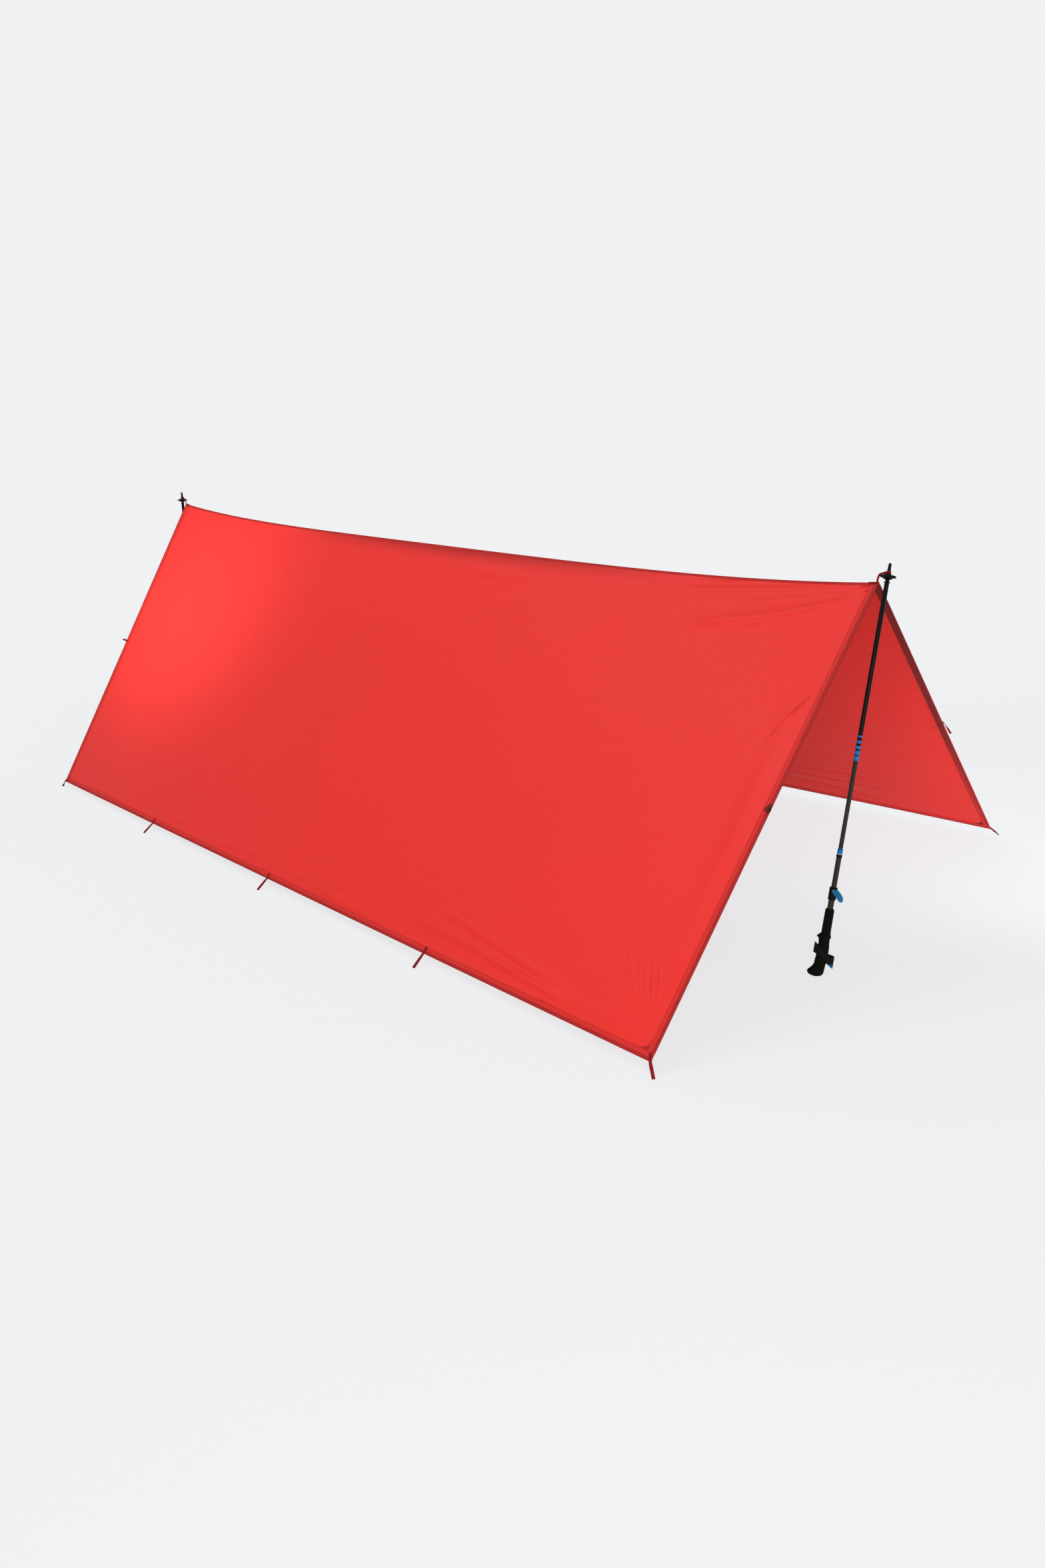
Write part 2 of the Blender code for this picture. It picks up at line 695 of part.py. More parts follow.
def build_pole_shaft(pole, parent, foot_down):
    """Tip, basket and the shaft sections, from the tip down to the part that slides in the handle."""
    place = pole.frame(pole.tip)
    name = pole.name
    flange = 0.0008
    upper_end = max(UPPER_SHAFT_END, foot_down - CLAMP_LOW + SHAFT_HOLD)
    ferrule = [
        (0.0, 0.0), (0.0022, -0.0003), (FERRULE_TOP_RADIUS, -0.0022),
        (ferrule_radius(BASKET_DOWN), -BASKET_DOWN), (FERRULE_RADIUS, -FLANGE_DOWN + flange),
        (FLANGE_RADIUS, -FLANGE_DOWN + flange / 2), (FLANGE_RADIUS, -FLANGE_DOWN - flange / 2),
        (FERRULE_RADIUS + 0.0006, -FLANGE_DOWN - flange), (FERRULE_RADIUS + 0.0006, -FERRULE_LENGTH),
        (0.0, -FERRULE_LENGTH),
    ]
    turned(f"{name}_pole_tip", ferrule, black_plastic(), parent, place)
    build_basket(pole, parent, place)
    shafts = (
        ("lower_shaft", LOWER_SHAFT_RADIUS, FERRULE_LENGTH, LOWER_SHAFT_END, black_tube()),
        ("middle_shaft", MIDDLE_SHAFT_RADIUS, LOWER_SHAFT_END, MIDDLE_SHAFT_END, grey_tube()),
        ("stop_ring", STOP_RING_RADIUS, MIDDLE_SHAFT_END, STOP_RING_END, blue_metal()),
        ("joint_collar", COLLAR_RADIUS, STOP_RING_END, COLLAR_END, black_plastic()),
        ("upper_shaft", UPPER_SHAFT_RADIUS, COLLAR_END, upper_end, grey_tube()),
    )
    for piece, radius, start, end, look in shafts:
        turned(f"{name}_{piece}", cylinder(radius, -end, -start - GAP), look, parent, place)


def build_basket(pole, parent, place):
    """A small lens-shaped basket with four eyes through its rim."""
    bore = FERRULE_RADIUS + GAP
    mid = -BASKET_DOWN
    rim = BASKET_RADIUS
    outline = [
        (bore, mid + 0.0062), (bore + 0.0012, mid + 0.0062), (bore + 0.0022, mid + 0.0052),
        (0.0110, mid + 0.0034), (rim - 0.0016, mid + 0.0018), (rim, mid + 0.0006), (rim, mid - 0.0010),
        (rim - 0.0014, mid - 0.0022), (0.0115, mid - 0.0040), (0.0072, mid - 0.0070), (bore, mid - 0.0070),
    ]
    basket = turned(f"{pole.name}_basket", outline, black_plastic(), parent, place, BASKET_ROUND)
    for k in range(4):
        angle = FORWARD_TURN + math.tau * k / 4
        middle = Vector((math.cos(angle), math.sin(angle), 0.0)) * (rim - 0.0052)
        eye = turned(
            f"{pole.name}_basket_eye_{k}", cylinder(0.0024, mid - 0.012, mid + 0.012, 0.0), black_plastic(),
            parent, place @ Matrix.Translation(middle), 10,
        )
        combine(basket, eye, "DIFFERENCE")


def grip_sections():
    """Height, half depth, half width and forward offset of the grip, from its pommel up."""
    return (
        (0.0000, 0.0060, 0.0055, 0.0085), (0.0022, 0.0130, 0.0108, 0.0090), (0.0065, 0.0180, 0.0142, 0.0094),
        (0.0120, 0.0192, 0.0153, 0.0090), (0.0180, 0.0166, 0.0145, 0.0060), (0.0260, 0.0140, 0.0135, 0.0028),
        (0.0400, 0.0136, 0.0138, 0.0010), (0.0560, 0.0134, GRIP_WAIST, 0.0000), (0.0720, 0.0131, 0.0137, 0.0000),
        (0.0850, 0.0125, 0.0130, 0.0008), (0.0925, 0.0136, 0.0134, 0.0020), (0.0970, 0.0165, 0.0146, 0.0030),
        (0.1005, 0.0136, 0.0132, 0.0013), (0.1045, 0.0113, 0.0113, 0.0000), (GRIP_HIGH, 0.0109, 0.0109, 0.0000),
    )


def grip_rings():
    rings = []
    for height, deep, wide, forward in grip_sections():
        angles = [math.tau * k / ROUND for k in range(ROUND)]
        rings.append([Vector((forward + deep * math.cos(t), wide * math.sin(t), height)) for t in angles])
    return rings


def build_pole_handle(pole, parent, foot_down):
    """Grip, foam sleeve, outer tube, lock clamp and strap, standing on the ground by the pommel."""
    name = pole.name
    low = pole.tip - pole.up * foot_down
    place = pole.frame(low)
    forward = pole.frame(low, FORWARD_TURN)
    tube_bore = UPPER_SHAFT_RADIUS + GAP
    tube_radius = tube_bore + TUBE_WALL
    clamp_high = CLAMP_LOW + CLAMP_HEIGHT
    tube_high = clamp_high - CLAMP_LIP - GAP
    tube = [
        (0.0, TUBE_FLOOR), (tube_radius, TUBE_FLOOR), (tube_radius, tube_high), (tube_bore, tube_high),
        (tube_bore, TUBE_FLOOR + TUBE_WALL), (0.0, TUBE_FLOOR + TUBE_WALL),
    ]
    turned(f"{name}_handle_shaft", tube, grey_tube(), parent, place)

    grip = loft(f"{name}_grip", grip_rings(), foam(), parent, forward)
    socket = cylinder(tube_radius + GAP, TUBE_FLOOR - GAP, GRIP_HIGH + 0.01, 0.0)
    combine(grip, turned(f"{name}_grip_socket", socket, foam(), parent, place), "DIFFERENCE")

    sleeve_bore = tube_radius + GAP
    sleeve = [
        (sleeve_bore, FOAM_LOW), (FOAM_RADIUS + 0.0004, FOAM_LOW), (FOAM_RADIUS, FOAM_HIGH - 0.002),
        (FOAM_RADIUS - 0.0015, FOAM_HIGH), (sleeve_bore, FOAM_HIGH),
    ]
    turned(f"{name}_foam_sleeve", sleeve, foam(), parent, place)
    build_strap(pole, parent, forward)
    build_clamp(pole, parent, pole.frame(low, LEVER_TURN), tube_radius, tube_bore, clamp_high)


def build_strap(pole, parent, place):
    """The wrist strap, wound once round the grip: high in front of it and bowed out behind."""
    cells = STRAP_CELLS
    rings = []
    for k in range(cells):
        angle = math.tau * k / cells
        front = max(0.0, math.cos(angle)) ** 2
        back = max(0.0, -math.cos(angle)) ** 2
        radius = GRIP_WAIST + GAP + STRAP_FRONT_BULGE * front + STRAP_BACK_BULGE * back
        height = STRAP_HEIGHT + STRAP_RISE * math.cos(angle)
        way = Vector((math.cos(angle), math.sin(angle), 0.0))
        half = STRAP_WIDTH / 2
        corners = ((0.0, -half), (STRAP_THICK, -half), (STRAP_THICK, half), (0.0, half))
        rings.append([way * (radius + out) + Vector((0.0, 0.0, height + rise)) for out, rise in corners])
    build = bmesh.new()
    made = [[build.verts.new(point) for point in ring] for ring in rings]
    for k in range(cells):
        first = made[k]
        second = made[(k + 1) % cells]
        for j in range(4):
            after = (j + 1) % 4
            build.faces.new((first[j], second[j], second[after], first[after]))
    return finish_mesh(f"{pole.name}_wrist_strap", build, strap_web(), parent, place)


def box(name, low, high, parent, matrix):
    build = bmesh.new()
    bmesh.ops.create_cube(build, size=1.0)
    size = Vector(high) - Vector(low)
    middle = (Vector(high) + Vector(low)) / 2
    bmesh.ops.scale(build, vec=size, verts=build.verts)
    bmesh.ops.translate(build, vec=middle, verts=build.verts)
    return finish_mesh(name, build, black_plastic(), parent, matrix)


def build_clamp(pole, parent, place, tube_radius, tube_bore, clamp_high):
    """The lock on the tube's end: a lipped collar whose two ears carry the lever's pin."""
    name = pole.name
    bore = tube_radius + GAP
    outer = bore + CLAMP_WALL
    lip = tube_bore
    collar = [
        (bore, CLAMP_LOW), (outer - 0.0005, CLAMP_LOW), (outer, CLAMP_LOW + 0.0005),
        (outer, clamp_high - 0.0008), (outer - 0.0008, clamp_high), (lip, clamp_high),
        (lip, clamp_high - CLAMP_LIP), (bore, clamp_high - CLAMP_LIP),
    ]
    clamp = turned(f"{name}_lock_clamp", collar, black_plastic(), parent, place)
    pin_out = outer + GAP + LEVER_HEAD_RADIUS
    pin_up = clamp_high - PIN_BELOW_CLAMP_TOP
    slot = LEVER_HEAD_WIDTH / 2 + GAP
    ear_out = pin_out + LEVER_HEAD_RADIUS * 0.75
    ear_rise = LEVER_HEAD_RADIUS + 0.0008
    for sign in (-1.0, 1.0):
        inner_side = sign * slot
        outer_side = sign * (slot + EAR_WALL)
        low = (bore + 0.0008, min(inner_side, outer_side), pin_up - ear_rise * 2)
        high = (ear_out, max(inner_side, outer_side), pin_up + ear_rise)
        combine(clamp, box(f"{name}_clamp_ear_{sign:+.0f}", low, high, parent, place), "UNION")
    pin_place = place @ Matrix.Translation((pin_out, 0.0, pin_up)) @ Matrix.Rotation(math.radians(90), 4, "X")
    half_pin = slot + EAR_WALL / 2
    pin = turned(
        f"{name}_clamp_pin", cylinder(LEVER_PIN_RADIUS, -half_pin, half_pin, 0.0), black_plastic(), parent,
        pin_place, 12,
    )
    combine(clamp, pin, "UNION")
    hinge = place_empty(f"{name}_lever_axis", place @ Matrix.Translation((pin_out, 0.0, pin_up)), parent)
    build_lever(pole, hinge, ear_out - pin_out + GAP)


def build_lever(pole, hinge, blade_start):
    """The blue cam lever: a round head on the pin and a slanting wing that leans out and down.

    Each row of the wing's table gives a place down it, its two side edges and its thickness.
    """
    name = pole.name
    way = Vector((math.sin(LEVER_LEAN), -math.cos(LEVER_LEAN)))
    thick_way = Vector((math.cos(LEVER_LEAN), math.sin(LEVER_LEAN)))
    matrix = hinge.matrix_world.copy()

    def place(s, n, w):
        return Vector((s, w, n))

    head = [
        (LEVER_HEAD_RADIUS * math.cos(math.tau * k / ROUND), LEVER_HEAD_RADIUS * math.sin(math.tau * k / ROUND))
        for k in range(ROUND)
    ]
    eye_radius = LEVER_PIN_RADIUS + GAP
    eye = [(eye_radius * math.cos(math.tau * k / 12), eye_radius * math.sin(math.tau * k / 12)) for k in range(12)]
    lever = prism(f"{name}_lock_lever", [head, eye], place, LEVER_HEAD_WIDTH / 2, blue_metal(), hinge, matrix)

    top = Vector((blade_start + LEVER_THICK * 0.5, LEVER_HEAD_RADIUS * 0.2))
    half = thick_way * (LEVER_THICK / 2)
    crown = Vector((blade_start + LEVER_THICK * 0.2, LEVER_HEAD_RADIUS * 0.8))
    arm = [
        (LEVER_HEAD_RADIUS * 0.62, LEVER_HEAD_RADIUS * 0.70), tuple(crown + half * 0.2),
        tuple(crown + half * 1.2), tuple(top + half), tuple(top - half),
        (LEVER_HEAD_RADIUS * 0.62, -LEVER_HEAD_RADIUS * 0.70),
    ]
    neck = prism(f"{name}_lever_neck", [arm], place, LEVER_HEAD_WIDTH / 2, blue_metal(), hinge, matrix)
    combine(lever, neck, "UNION")
    rings = []
    for share, left, right, thick in WING:
        inner = top + way * (LEVER_LENGTH * share) + half * 0.7
        outer = inner + thick_way * thick
        rings.append([place(*inner, left), place(*inner, right), place(*outer, right), place(*outer, left)])
    wing = loft(f"{name}_lever_wing", rings, blue_metal(), hinge, matrix)
    return combine(lever, wing, "UNION")


def pommel_drop(pole):
    """How far below the tip the handle's end lies, along the pole, when the pommel touches the ground."""
    place = pole.frame(pole.tip, FORWARD_TURN)
    lowest = min((place @ point).z for ring in grip_rings() for point in ring)
    return lowest / pole.up.z


def build_pole(pole, near, far, end_along, canopy, swing_turn):
    """One pole with its ridge loop, on empties for the swing and for the sliding handle."""
    pole_loop(f"{pole.name}_ridge_loop", near, far, pole, end_along, canopy)
    swing = place_empty(f"{pole.name}_swing_axis", pole.frame(pole.pivot, swing_turn), canopy)
    foot_down = pommel_drop(pole)
    build_pole_shaft(pole, swing, foot_down)
    slide = place_empty(f"{pole.name}_slide_axis", pole.frame(pole.tip - pole.up * foot_down), swing)
    build_pole_handle(pole, slide, foot_down)


def lift_axis(name, sign, parent):
    """An empty on the straight line between the ridge's ends, X along it, that a side lifts about."""
    back = Vector((RIDGE_BACK_X, 0.0, RIDGE_BACK_Z))
    front = Vector((RIDGE_FRONT_X, 0.0, RIDGE_FRONT_Z))
    along = (front - back).normalized() * sign
    across = Vector((0.0, 0.0, 1.0)).cross(along).normalized()
    up = along.cross(across)
    axes = Matrix((along, across, up)).transposed().to_4x4()
    return place_empty(name, Matrix.Translation((back + front) / 2) @ axes, parent)


def solid_objects():
    return [obj for obj in bpy.data.objects if obj.type == "MESH" and not obj.hide_render]


def stand_on_middle(canopy):
    """Moves the whole object so that the origin is the middle of its footprint on the ground."""
    bpy.context.view_layer.update()
    graph = bpy.context.evaluated_depsgraph_get()
    corners = []
    for obj in solid_objects():
        shape = obj.evaluated_get(graph)
        mesh = shape.to_mesh()
        corners += [shape.matrix_world @ vert.co for vert in mesh.vertices]
        shape.to_mesh_clear()
    middle = [(min(p[k] for p in corners) + max(p[k] for p in corners)) / 2 for k in (0, 1)]
    canopy.location -= Vector((*middle, 0.0))
    bpy.context.view_layer.update()


def main():
    clear_scene()
    near = Side(
        "near", -1.0, (BACK_CORNER_X, NEAR_BACK_Y, NEAR_BACK_HEM_Z),
        (FRONT_CORNER_X, NEAR_FRONT_Y, NEAR_FRONT_HEM_Z), NEAR_HEM_BOW, NEAR_FOLDS,
    )
    far = Side(
        "far", 1.0, (BACK_CORNER_X, FAR_BACK_Y, FAR_HEM_Z), (FRONT_CORNER_X, FAR_FRONT_Y, FAR_HEM_Z),
        FAR_HEM_BOW, FAR_FOLDS,
    )
    canopy = place_empty("canopy", Matrix())
    along_list = stations(0.0, TARP_LENGTH, LONG_CELLS, HEM_WIDTH, HEM_WIDTH)
    half = CLOTH_THICK / 2
    loft("ridge_seam", roof_rings(near, far, along_list, SEAM_LEG, -half, half), binding(), canopy)
    for side, loop in ((near, NEAR_FRONT_EDGE_LOOP), (far, FAR_FRONT_EDGE_LOOP)):
        axis = lift_axis(f"{side.name}_lift_axis", side.sign, canopy)
        build_side(side, axis)
        build_edge_loops(side, loop, axis)
    back_tip = near.ridge(0.0) + Vector(BACK_TIP_FROM_RIDGE)
    front_tip = near.ridge(TARP_LENGTH) + Vector(FRONT_TIP_FROM_RIDGE)
    back_pole = Pole("back", back_tip, BACK_FOOT, -1.0)
    front_pole = Pole("front", front_tip, FRONT_FOOT, 1.0)
    build_pole(back_pole, near, far, 0.0, canopy, 0.0)
    build_pole(front_pole, near, far, TARP_LENGTH, canopy, math.pi)
    stand_on_middle(canopy)


main()
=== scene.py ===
"""Looks of a ridge tarp pitched on two trekking poles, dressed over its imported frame."""
import math

import bmesh
import bpy
import numpy as np
from mathutils import Matrix


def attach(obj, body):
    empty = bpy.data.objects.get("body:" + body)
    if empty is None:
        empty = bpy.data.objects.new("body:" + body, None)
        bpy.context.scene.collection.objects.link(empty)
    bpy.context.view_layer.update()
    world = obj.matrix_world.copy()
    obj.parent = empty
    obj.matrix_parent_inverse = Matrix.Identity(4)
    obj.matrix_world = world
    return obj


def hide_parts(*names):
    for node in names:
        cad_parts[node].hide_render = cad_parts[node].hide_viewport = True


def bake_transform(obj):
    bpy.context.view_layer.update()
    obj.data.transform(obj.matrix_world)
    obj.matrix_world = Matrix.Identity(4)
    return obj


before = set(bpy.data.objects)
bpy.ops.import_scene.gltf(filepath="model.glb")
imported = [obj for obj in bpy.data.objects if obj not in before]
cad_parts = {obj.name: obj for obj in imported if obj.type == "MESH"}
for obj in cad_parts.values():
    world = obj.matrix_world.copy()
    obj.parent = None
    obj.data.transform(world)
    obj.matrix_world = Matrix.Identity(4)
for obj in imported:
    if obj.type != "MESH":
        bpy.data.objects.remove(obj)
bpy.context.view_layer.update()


# Camera: it stands before the front near quarter at chest height and looks a little down across the tarp, as
# the photograph was taken. The lens is given for the longer side of a 1568 by 2352 picture.
CAMERA_PLACE = (2.770446, -2.447634, 1.3215)
CAMERA_RIGHT = np.array((0.7193, 0.6926, -0.0550))
CAMERA_BACK = np.array((0.6707, -0.6715, 0.3151))
LENS_MM = 26.279


def unit(vectors):
    """Each vector divided by its length."""
    return vectors / np.linalg.norm(vectors, axis=-1, keepdims=True)


def set_up(obj, place, right, back):
    """Puts a thing of the studio at a place, turned so that its own axes point right, up and back."""
    bpy.context.scene.collection.objects.link(obj)
    axes = Matrix(np.column_stack((right, np.cross(back, right), back)).tolist()).to_4x4()
    obj.matrix_world = Matrix.Translation(place) @ axes


back_way = unit(CAMERA_BACK)
right_way = unit(CAMERA_RIGHT - back_way * (CAMERA_RIGHT @ back_way))
camera_data = bpy.data.cameras.new("camera")
camera_data.lens = LENS_MM
camera_data.sensor_width = 36.0
camera = bpy.data.objects.new("camera", camera_data)
set_up(camera, CAMERA_PLACE, right_way, back_way)
bpy.context.scene.camera = camera
bpy.context.scene.view_settings.view_transform = "Standard"


# Studio: a plain pale floor that runs out to the horizon, a pale surround and soft lamps. The floor shows its
# own colour to the camera, mixed near the tarp with the light that falls on it, so that it keeps a faint shadow.
PALE = (0.871, 0.880, 0.896)
FLOOR_HALF = 60.0
FLOOR_DROP = 0.0008
FLOOR_SHARE = 0.86
SHADOW_REACH = (1.9, 4.2)
SURROUND_LIGHT = 0.50


class Finish:
    """A material in the making. Every node comes from node(), and the Principled shader is ready from the start."""

    def __init__(self, name, colour=None, roughness=0.5, gloss=0.5):
        self.material = bpy.data.materials.new(name)
        self.start(self.material)
        if colour is None:
            self.tree.nodes.remove(self.tree.nodes["Principled BSDF"])
        else:
            self.shader = self.tree.nodes["Principled BSDF"]
            self.set(**{"Base Color": colour, "Roughness": roughness, "Specular IOR Level": gloss})

    def start(self, owner):
        owner.use_nodes = True
        self.tree = owner.node_tree

    def give(self, sockets, key, value):
        """Links a wire into a socket, or sets the socket's own value."""
        if isinstance(value, Wire):
            self.tree.links.new(value.socket, sockets[key])
        elif isinstance(value, tuple) and len(value) == 3 and sockets[key].type == "RGBA":
            sockets[key].default_value = (*value, 1.0)
        else:
            sockets[key].default_value = value

    def node(self, kind, settings=None, values=None, out=0):
        """Adds a node: its settings first, then the values or links of its sockets; returns one of its outputs."""
        made = self.tree.nodes.new(kind)
        for key, value in (settings or {}).items():
            setattr(made, key, value)
        for key, value in (values or {}).items():
            self.give(made.inputs, key, value)
        return Wire(self, made.outputs[out])

    def set(self, **values):
        for key, value in values.items():
            self.give(self.shader.inputs, key, value)

    def mix(self, factor, low, high):
        """One colour passing into another."""
        return self.node("ShaderNodeMix", {"data_type": "RGBA"}, {0: factor, 6: low, 7: high}, out=2)

    def parts(self, vector):
        """The three parts of a vector, as numbers."""
        split = self.node("ShaderNodeSeparateXYZ", values={0: vector})
        return [Wire(self, socket) for socket in split.socket.node.outputs]

    def lay(self):
        """The piece's own flat measures, in metres: along it, then across it."""
        return self.node("ShaderNodeTexCoord", out="UV")

    def spot(self):
        """The place in the object."""
        return self.node("ShaderNodeTexCoord", out="Object")

    def noise(self, vector, scale, detail=2.0, stretch=None):
        """Even random values about a half; stretch scales the measures first, so that small numbers draw it out."""
        if stretch:
            vector = self.node("ShaderNodeMapping", values={"Vector": vector, "Scale": stretch})
        return self.node("ShaderNodeTexNoise", values={"Vector": vector, "Scale": scale, "Detail": detail})

    def raise_by(self, height_mm):
        """Bumps the surface by a height in millimetres."""
        values = {"Height": height_mm, "Distance": 0.001, "Strength": 1.0}
        self.set(Normal=self.node("ShaderNodeBump", values=values))


class Wire:
    """A number on its way between sockets: arithmetic on it, with plain numbers too, adds Math nodes."""

    def __init__(self, finish, socket):
        self.finish = finish
        self.socket = socket

    def math(self, operation, *others, clamp=False):
        values = dict(enumerate((self, *others)))
        return self.finish.node("ShaderNodeMath", {"operation": operation, "use_clamp": clamp}, values)

    def __add__(self, other):
        return self.math("ADD", other)

    __radd__ = __add__

    def __mul__(self, other):
        return self.math("MULTIPLY", other)

    __rmul__ = __mul__

    def __sub__(self, other):
        return self.math("SUBTRACT", other)

    def __rsub__(self, other):
        return self.finish.node("ShaderNodeMath", {"operation": "SUBTRACT"}, {0: other, 1: self})

    def __truediv__(self, other):
        return self.math("DIVIDE", other)

    def below(self, limit, soft):
        """1 where the number is below a limit and 0 above it, with a soft step."""
        return (limit - self).math("DIVIDE", soft).math("ADD", 0.5, clamp=True)

    def from_line(self, pitch):
        """The distance to the nearest of evenly spaced lines."""
        return self.math("PINGPONG", pitch / 2.0)

    def line(self, pitch, half_width):
        """1 on evenly spaced lines, falling to 0 at half their width."""
        return (1.0 - self.from_line(pitch) / half_width).math("MAXIMUM", 0.0)


def shown_rays(finish):
    """1 for what the camera sees, straight, mirrored or through glass."""
    rays = finish.node("ShaderNodeLightPath").socket.node.outputs
    found = Wire(finish, rays["Is Camera Ray"])
    for name in ("Is Glossy Ray", "Is Transmission Ray"):
        found = found.math("MAXIMUM", Wire(finish, rays[name]))
    return found


floor_finish = Finish("pale_floor")
matt = floor_finish.node("ShaderNodeBsdfDiffuse", values={"Color": PALE})
plain = floor_finish.node("ShaderNodeEmission", values={"Color": PALE, "Strength": 1.0})
from_middle = floor_finish.node("ShaderNodeVectorMath", {"operation": "LENGTH"}, {0: floor_finish.spot()}, out=1)
clear_off = (from_middle - SHADOW_REACH[0]).math("DIVIDE", SHADOW_REACH[1] - SHADOW_REACH[0], clamp=True)
own_share = shown_rays(floor_finish) * (clear_off * (1.0 - FLOOR_SHARE) + FLOOR_SHARE)
shown = floor_finish.node("ShaderNodeMixShader", values={0: own_share, 1: matt, 2: plain})
floor_finish.give(floor_finish.tree.nodes["Material Output"].inputs, "Surface", shown)
floor_mesh = bpy.data.meshes.new("floor")
floor_mesh.from_pydata(
    [(x * FLOOR_HALF, y * FLOOR_HALF, -FLOOR_DROP) for x, y in ((-1, -1), (1, -1), (1, 1), (-1, 1))],
    [], [(0, 1, 2, 3)],
)
floor_mesh.materials.append(floor_finish.material)
floor = bpy.data.objects.new("floor", floor_mesh)
bpy.context.scene.collection.objects.link(floor)

world = bpy.data.worlds.new("surround")
bpy.context.scene.world = world
surround = Finish.__new__(Finish)
surround.start(world)
sky = surround.tree.nodes["Background"]
rays = shown_rays(surround)
surround.give(sky.inputs, "Color", PALE)
surround.give(sky.inputs, "Strength", rays + (1.0 - rays) * SURROUND_LIGHT)


def soft_lamp(name, place, target, size, watts, beam=180.0, kind="AREA"):
    """A lamp at a place, facing a target, that the camera doesn't see: a square one, or a spot that fades out."""
    data = bpy.data.lights.new(name, kind)
    data.energy = watts
    if kind == "AREA":
        data.size = size
        data.spread = math.radians(beam)
    else:
        data.shadow_soft_size = size
        data.spot_size = math.radians(beam)
        data.spot_blend = 1.0
    lamp = bpy.data.objects.new(name, data)
    away = unit(np.array(place) - np.array(target))
    set_up(lamp, place, unit(np.cross((0.0, 0.0, 1.0), away)), away)
    lamp.visible_camera = False


soft_lamp("high_lamp", (-1.2, -2.2, 5.2), (0.0, -0.3, 0.4), 2.4, 135.0)
soft_lamp("left_spot", (-1.62, -1.75, 1.40), (-1.20, -0.28, 0.68), 0.3, 100.0, 37.0, "SPOT")
soft_lamp("front_lamp", (3.4, -2.6, 0.9), (0.9, 0.1, 0.4), 1.6, 43.0)
soft_lamp("back_lamp", (-1.0, 3.6, 1.6), (0.0, 0.3, 0.4), 2.0, 30.0)
soft_lamp("mouth_lamp", (2.3, 0.25, 0.50), (1.3, 0.78, 0.24), 0.4, 4.2, 96.0)


# Cloth sides: two rectangles of thin coated ripstop, 3.0 by 1.2 m, joined at the ridge and pitched taut. The
# poles and the peg loops pull them into two warped faces, with folds and pulls that run out of the corners and
# loops.
SHIFT = np.array((-1.505554, -0.005834, 0.0))
CLOTH_LENGTH = 3.0
CLOTH_WIDTH = 1.2
CLOTH_THICK = 0.0008
HEM_WIDTH = 0.018
SEAM_LEG = 0.008
CLEAR = 0.0003
RIDGE_BACK = np.array((0.028, 0.0, 1.014))
RIDGE_FRONT = np.array((3.024, 0.0, 0.889))
RIDGE_SAG = 0.038
SIDE_HOLLOW = 0.014
FOLD_FADE_SHARE = 1.0 / 9.0
PULL_FADE = 0.014
SLOPE_STEP = 0.002
CLOTH_RED = (0.800, 0.030, 0.024)
CLOTH_DEEP = (0.730, 0.025, 0.020)
RIP_PITCH = 0.005
RIP_HALF = 0.0008
DOT_HALF = 0.0018
WEAVE_PITCH = 0.0012
# Painted shade under the ridge: its colour, which the ripstop's dots share, how far down it reaches, and its middle
# and half length along.
PAINTED_SHADE_AND_DOT_RED = (0.210, 0.004, 0.003)
PAINTED_SHADE_DOWN = 0.066
PAINTED_SHADE_MIDDLE = 1.62
PAINTED_SHADE_REACH = 0.86
LINES_ALONG = 172
LINES_DOWN = 284
SHARP_ANGLE = math.radians(40)
UP = np.array((0.0, 0.0, 1.0))

# Folds: start along and down the side, heading (0 to the front, 90 down), length, half width, height
NEAR_FOLDS = (
    (2.92, 0.030, 174, 0.60, 0.022, 0.0050), (2.94, 0.060, 168, 0.50, 0.026, 0.0045),
    (2.78, 1.155, 184, 0.70, 0.030, 0.0050), (1.50, 1.165, 179, 0.45, 0.026, 0.0040),
    (2.95, 0.420, 87, 0.55, 0.026, 0.0040),
)
FAR_FOLDS = (
    (2.92, 0.040, 175, 0.60, 0.024, 0.0045), (2.75, 1.150, 184, 0.70, 0.030, 0.0050),
    (0.40, 1.150, -3, 0.60, 0.030, 0.0045),
)

# Pulls: middle along and down the side, heading, half length, half width, height
NEAR_PULLS = (
    (2.656, 0.036, -5, 0.32, 0.016, 0.0037), (2.764, 0.062, -7, 0.17, 0.013, 0.0020),
    (2.847, 0.080, -18, 0.15, 0.014, 0.0033), (2.656, 0.127, -11, 0.21, 0.016, 0.0026),
    (1.764, 0.071, 1, 0.30, 0.030, 0.0034), (2.373, 1.129, 5, 0.24, 0.017, 0.0060),
    (2.576, 1.150, 4, 0.20, 0.013, 0.0072), (2.458, 1.102, 7, 0.28, 0.017, 0.0056),
    (2.259, 1.131, 3, 0.22, 0.016, 0.0029), (1.777, 1.162, 3, 0.30, 0.018, 0.0034),
    (0.859, 1.152, -4, 0.21, 0.015, 0.0022), (1.274, 1.156, -4, 0.28, 0.014, 0.0031),
)
FAR_PULLS = (
    (2.516, 1.117, 4, 0.28, 0.012, 0.0017), (2.546, 1.062, 2, 0.26, 0.012, 0.0016),
    (2.579, 1.002, 0, 0.20, 0.014, 0.0016), (2.890, 1.110, 8, 0.10, 0.010, 0.0013),
)


def mixed(low, high, share):
    """low at share 0, high at 1, for points and an array of shares."""
    share = np.asarray(share)[..., None]
    return low * (1.0 - share) + high * share


def ahead_and_aside(along, down, start, drop, heading):
    """Distances ahead of and beside a start on the flat cloth, as its heading turns them."""
    angle = math.radians(heading)
    ahead = (along - start) * math.cos(angle) + (down - drop) * math.sin(angle)
    aside = (down - drop) * math.cos(angle) - (along - start) * math.sin(angle)
    return ahead, aside


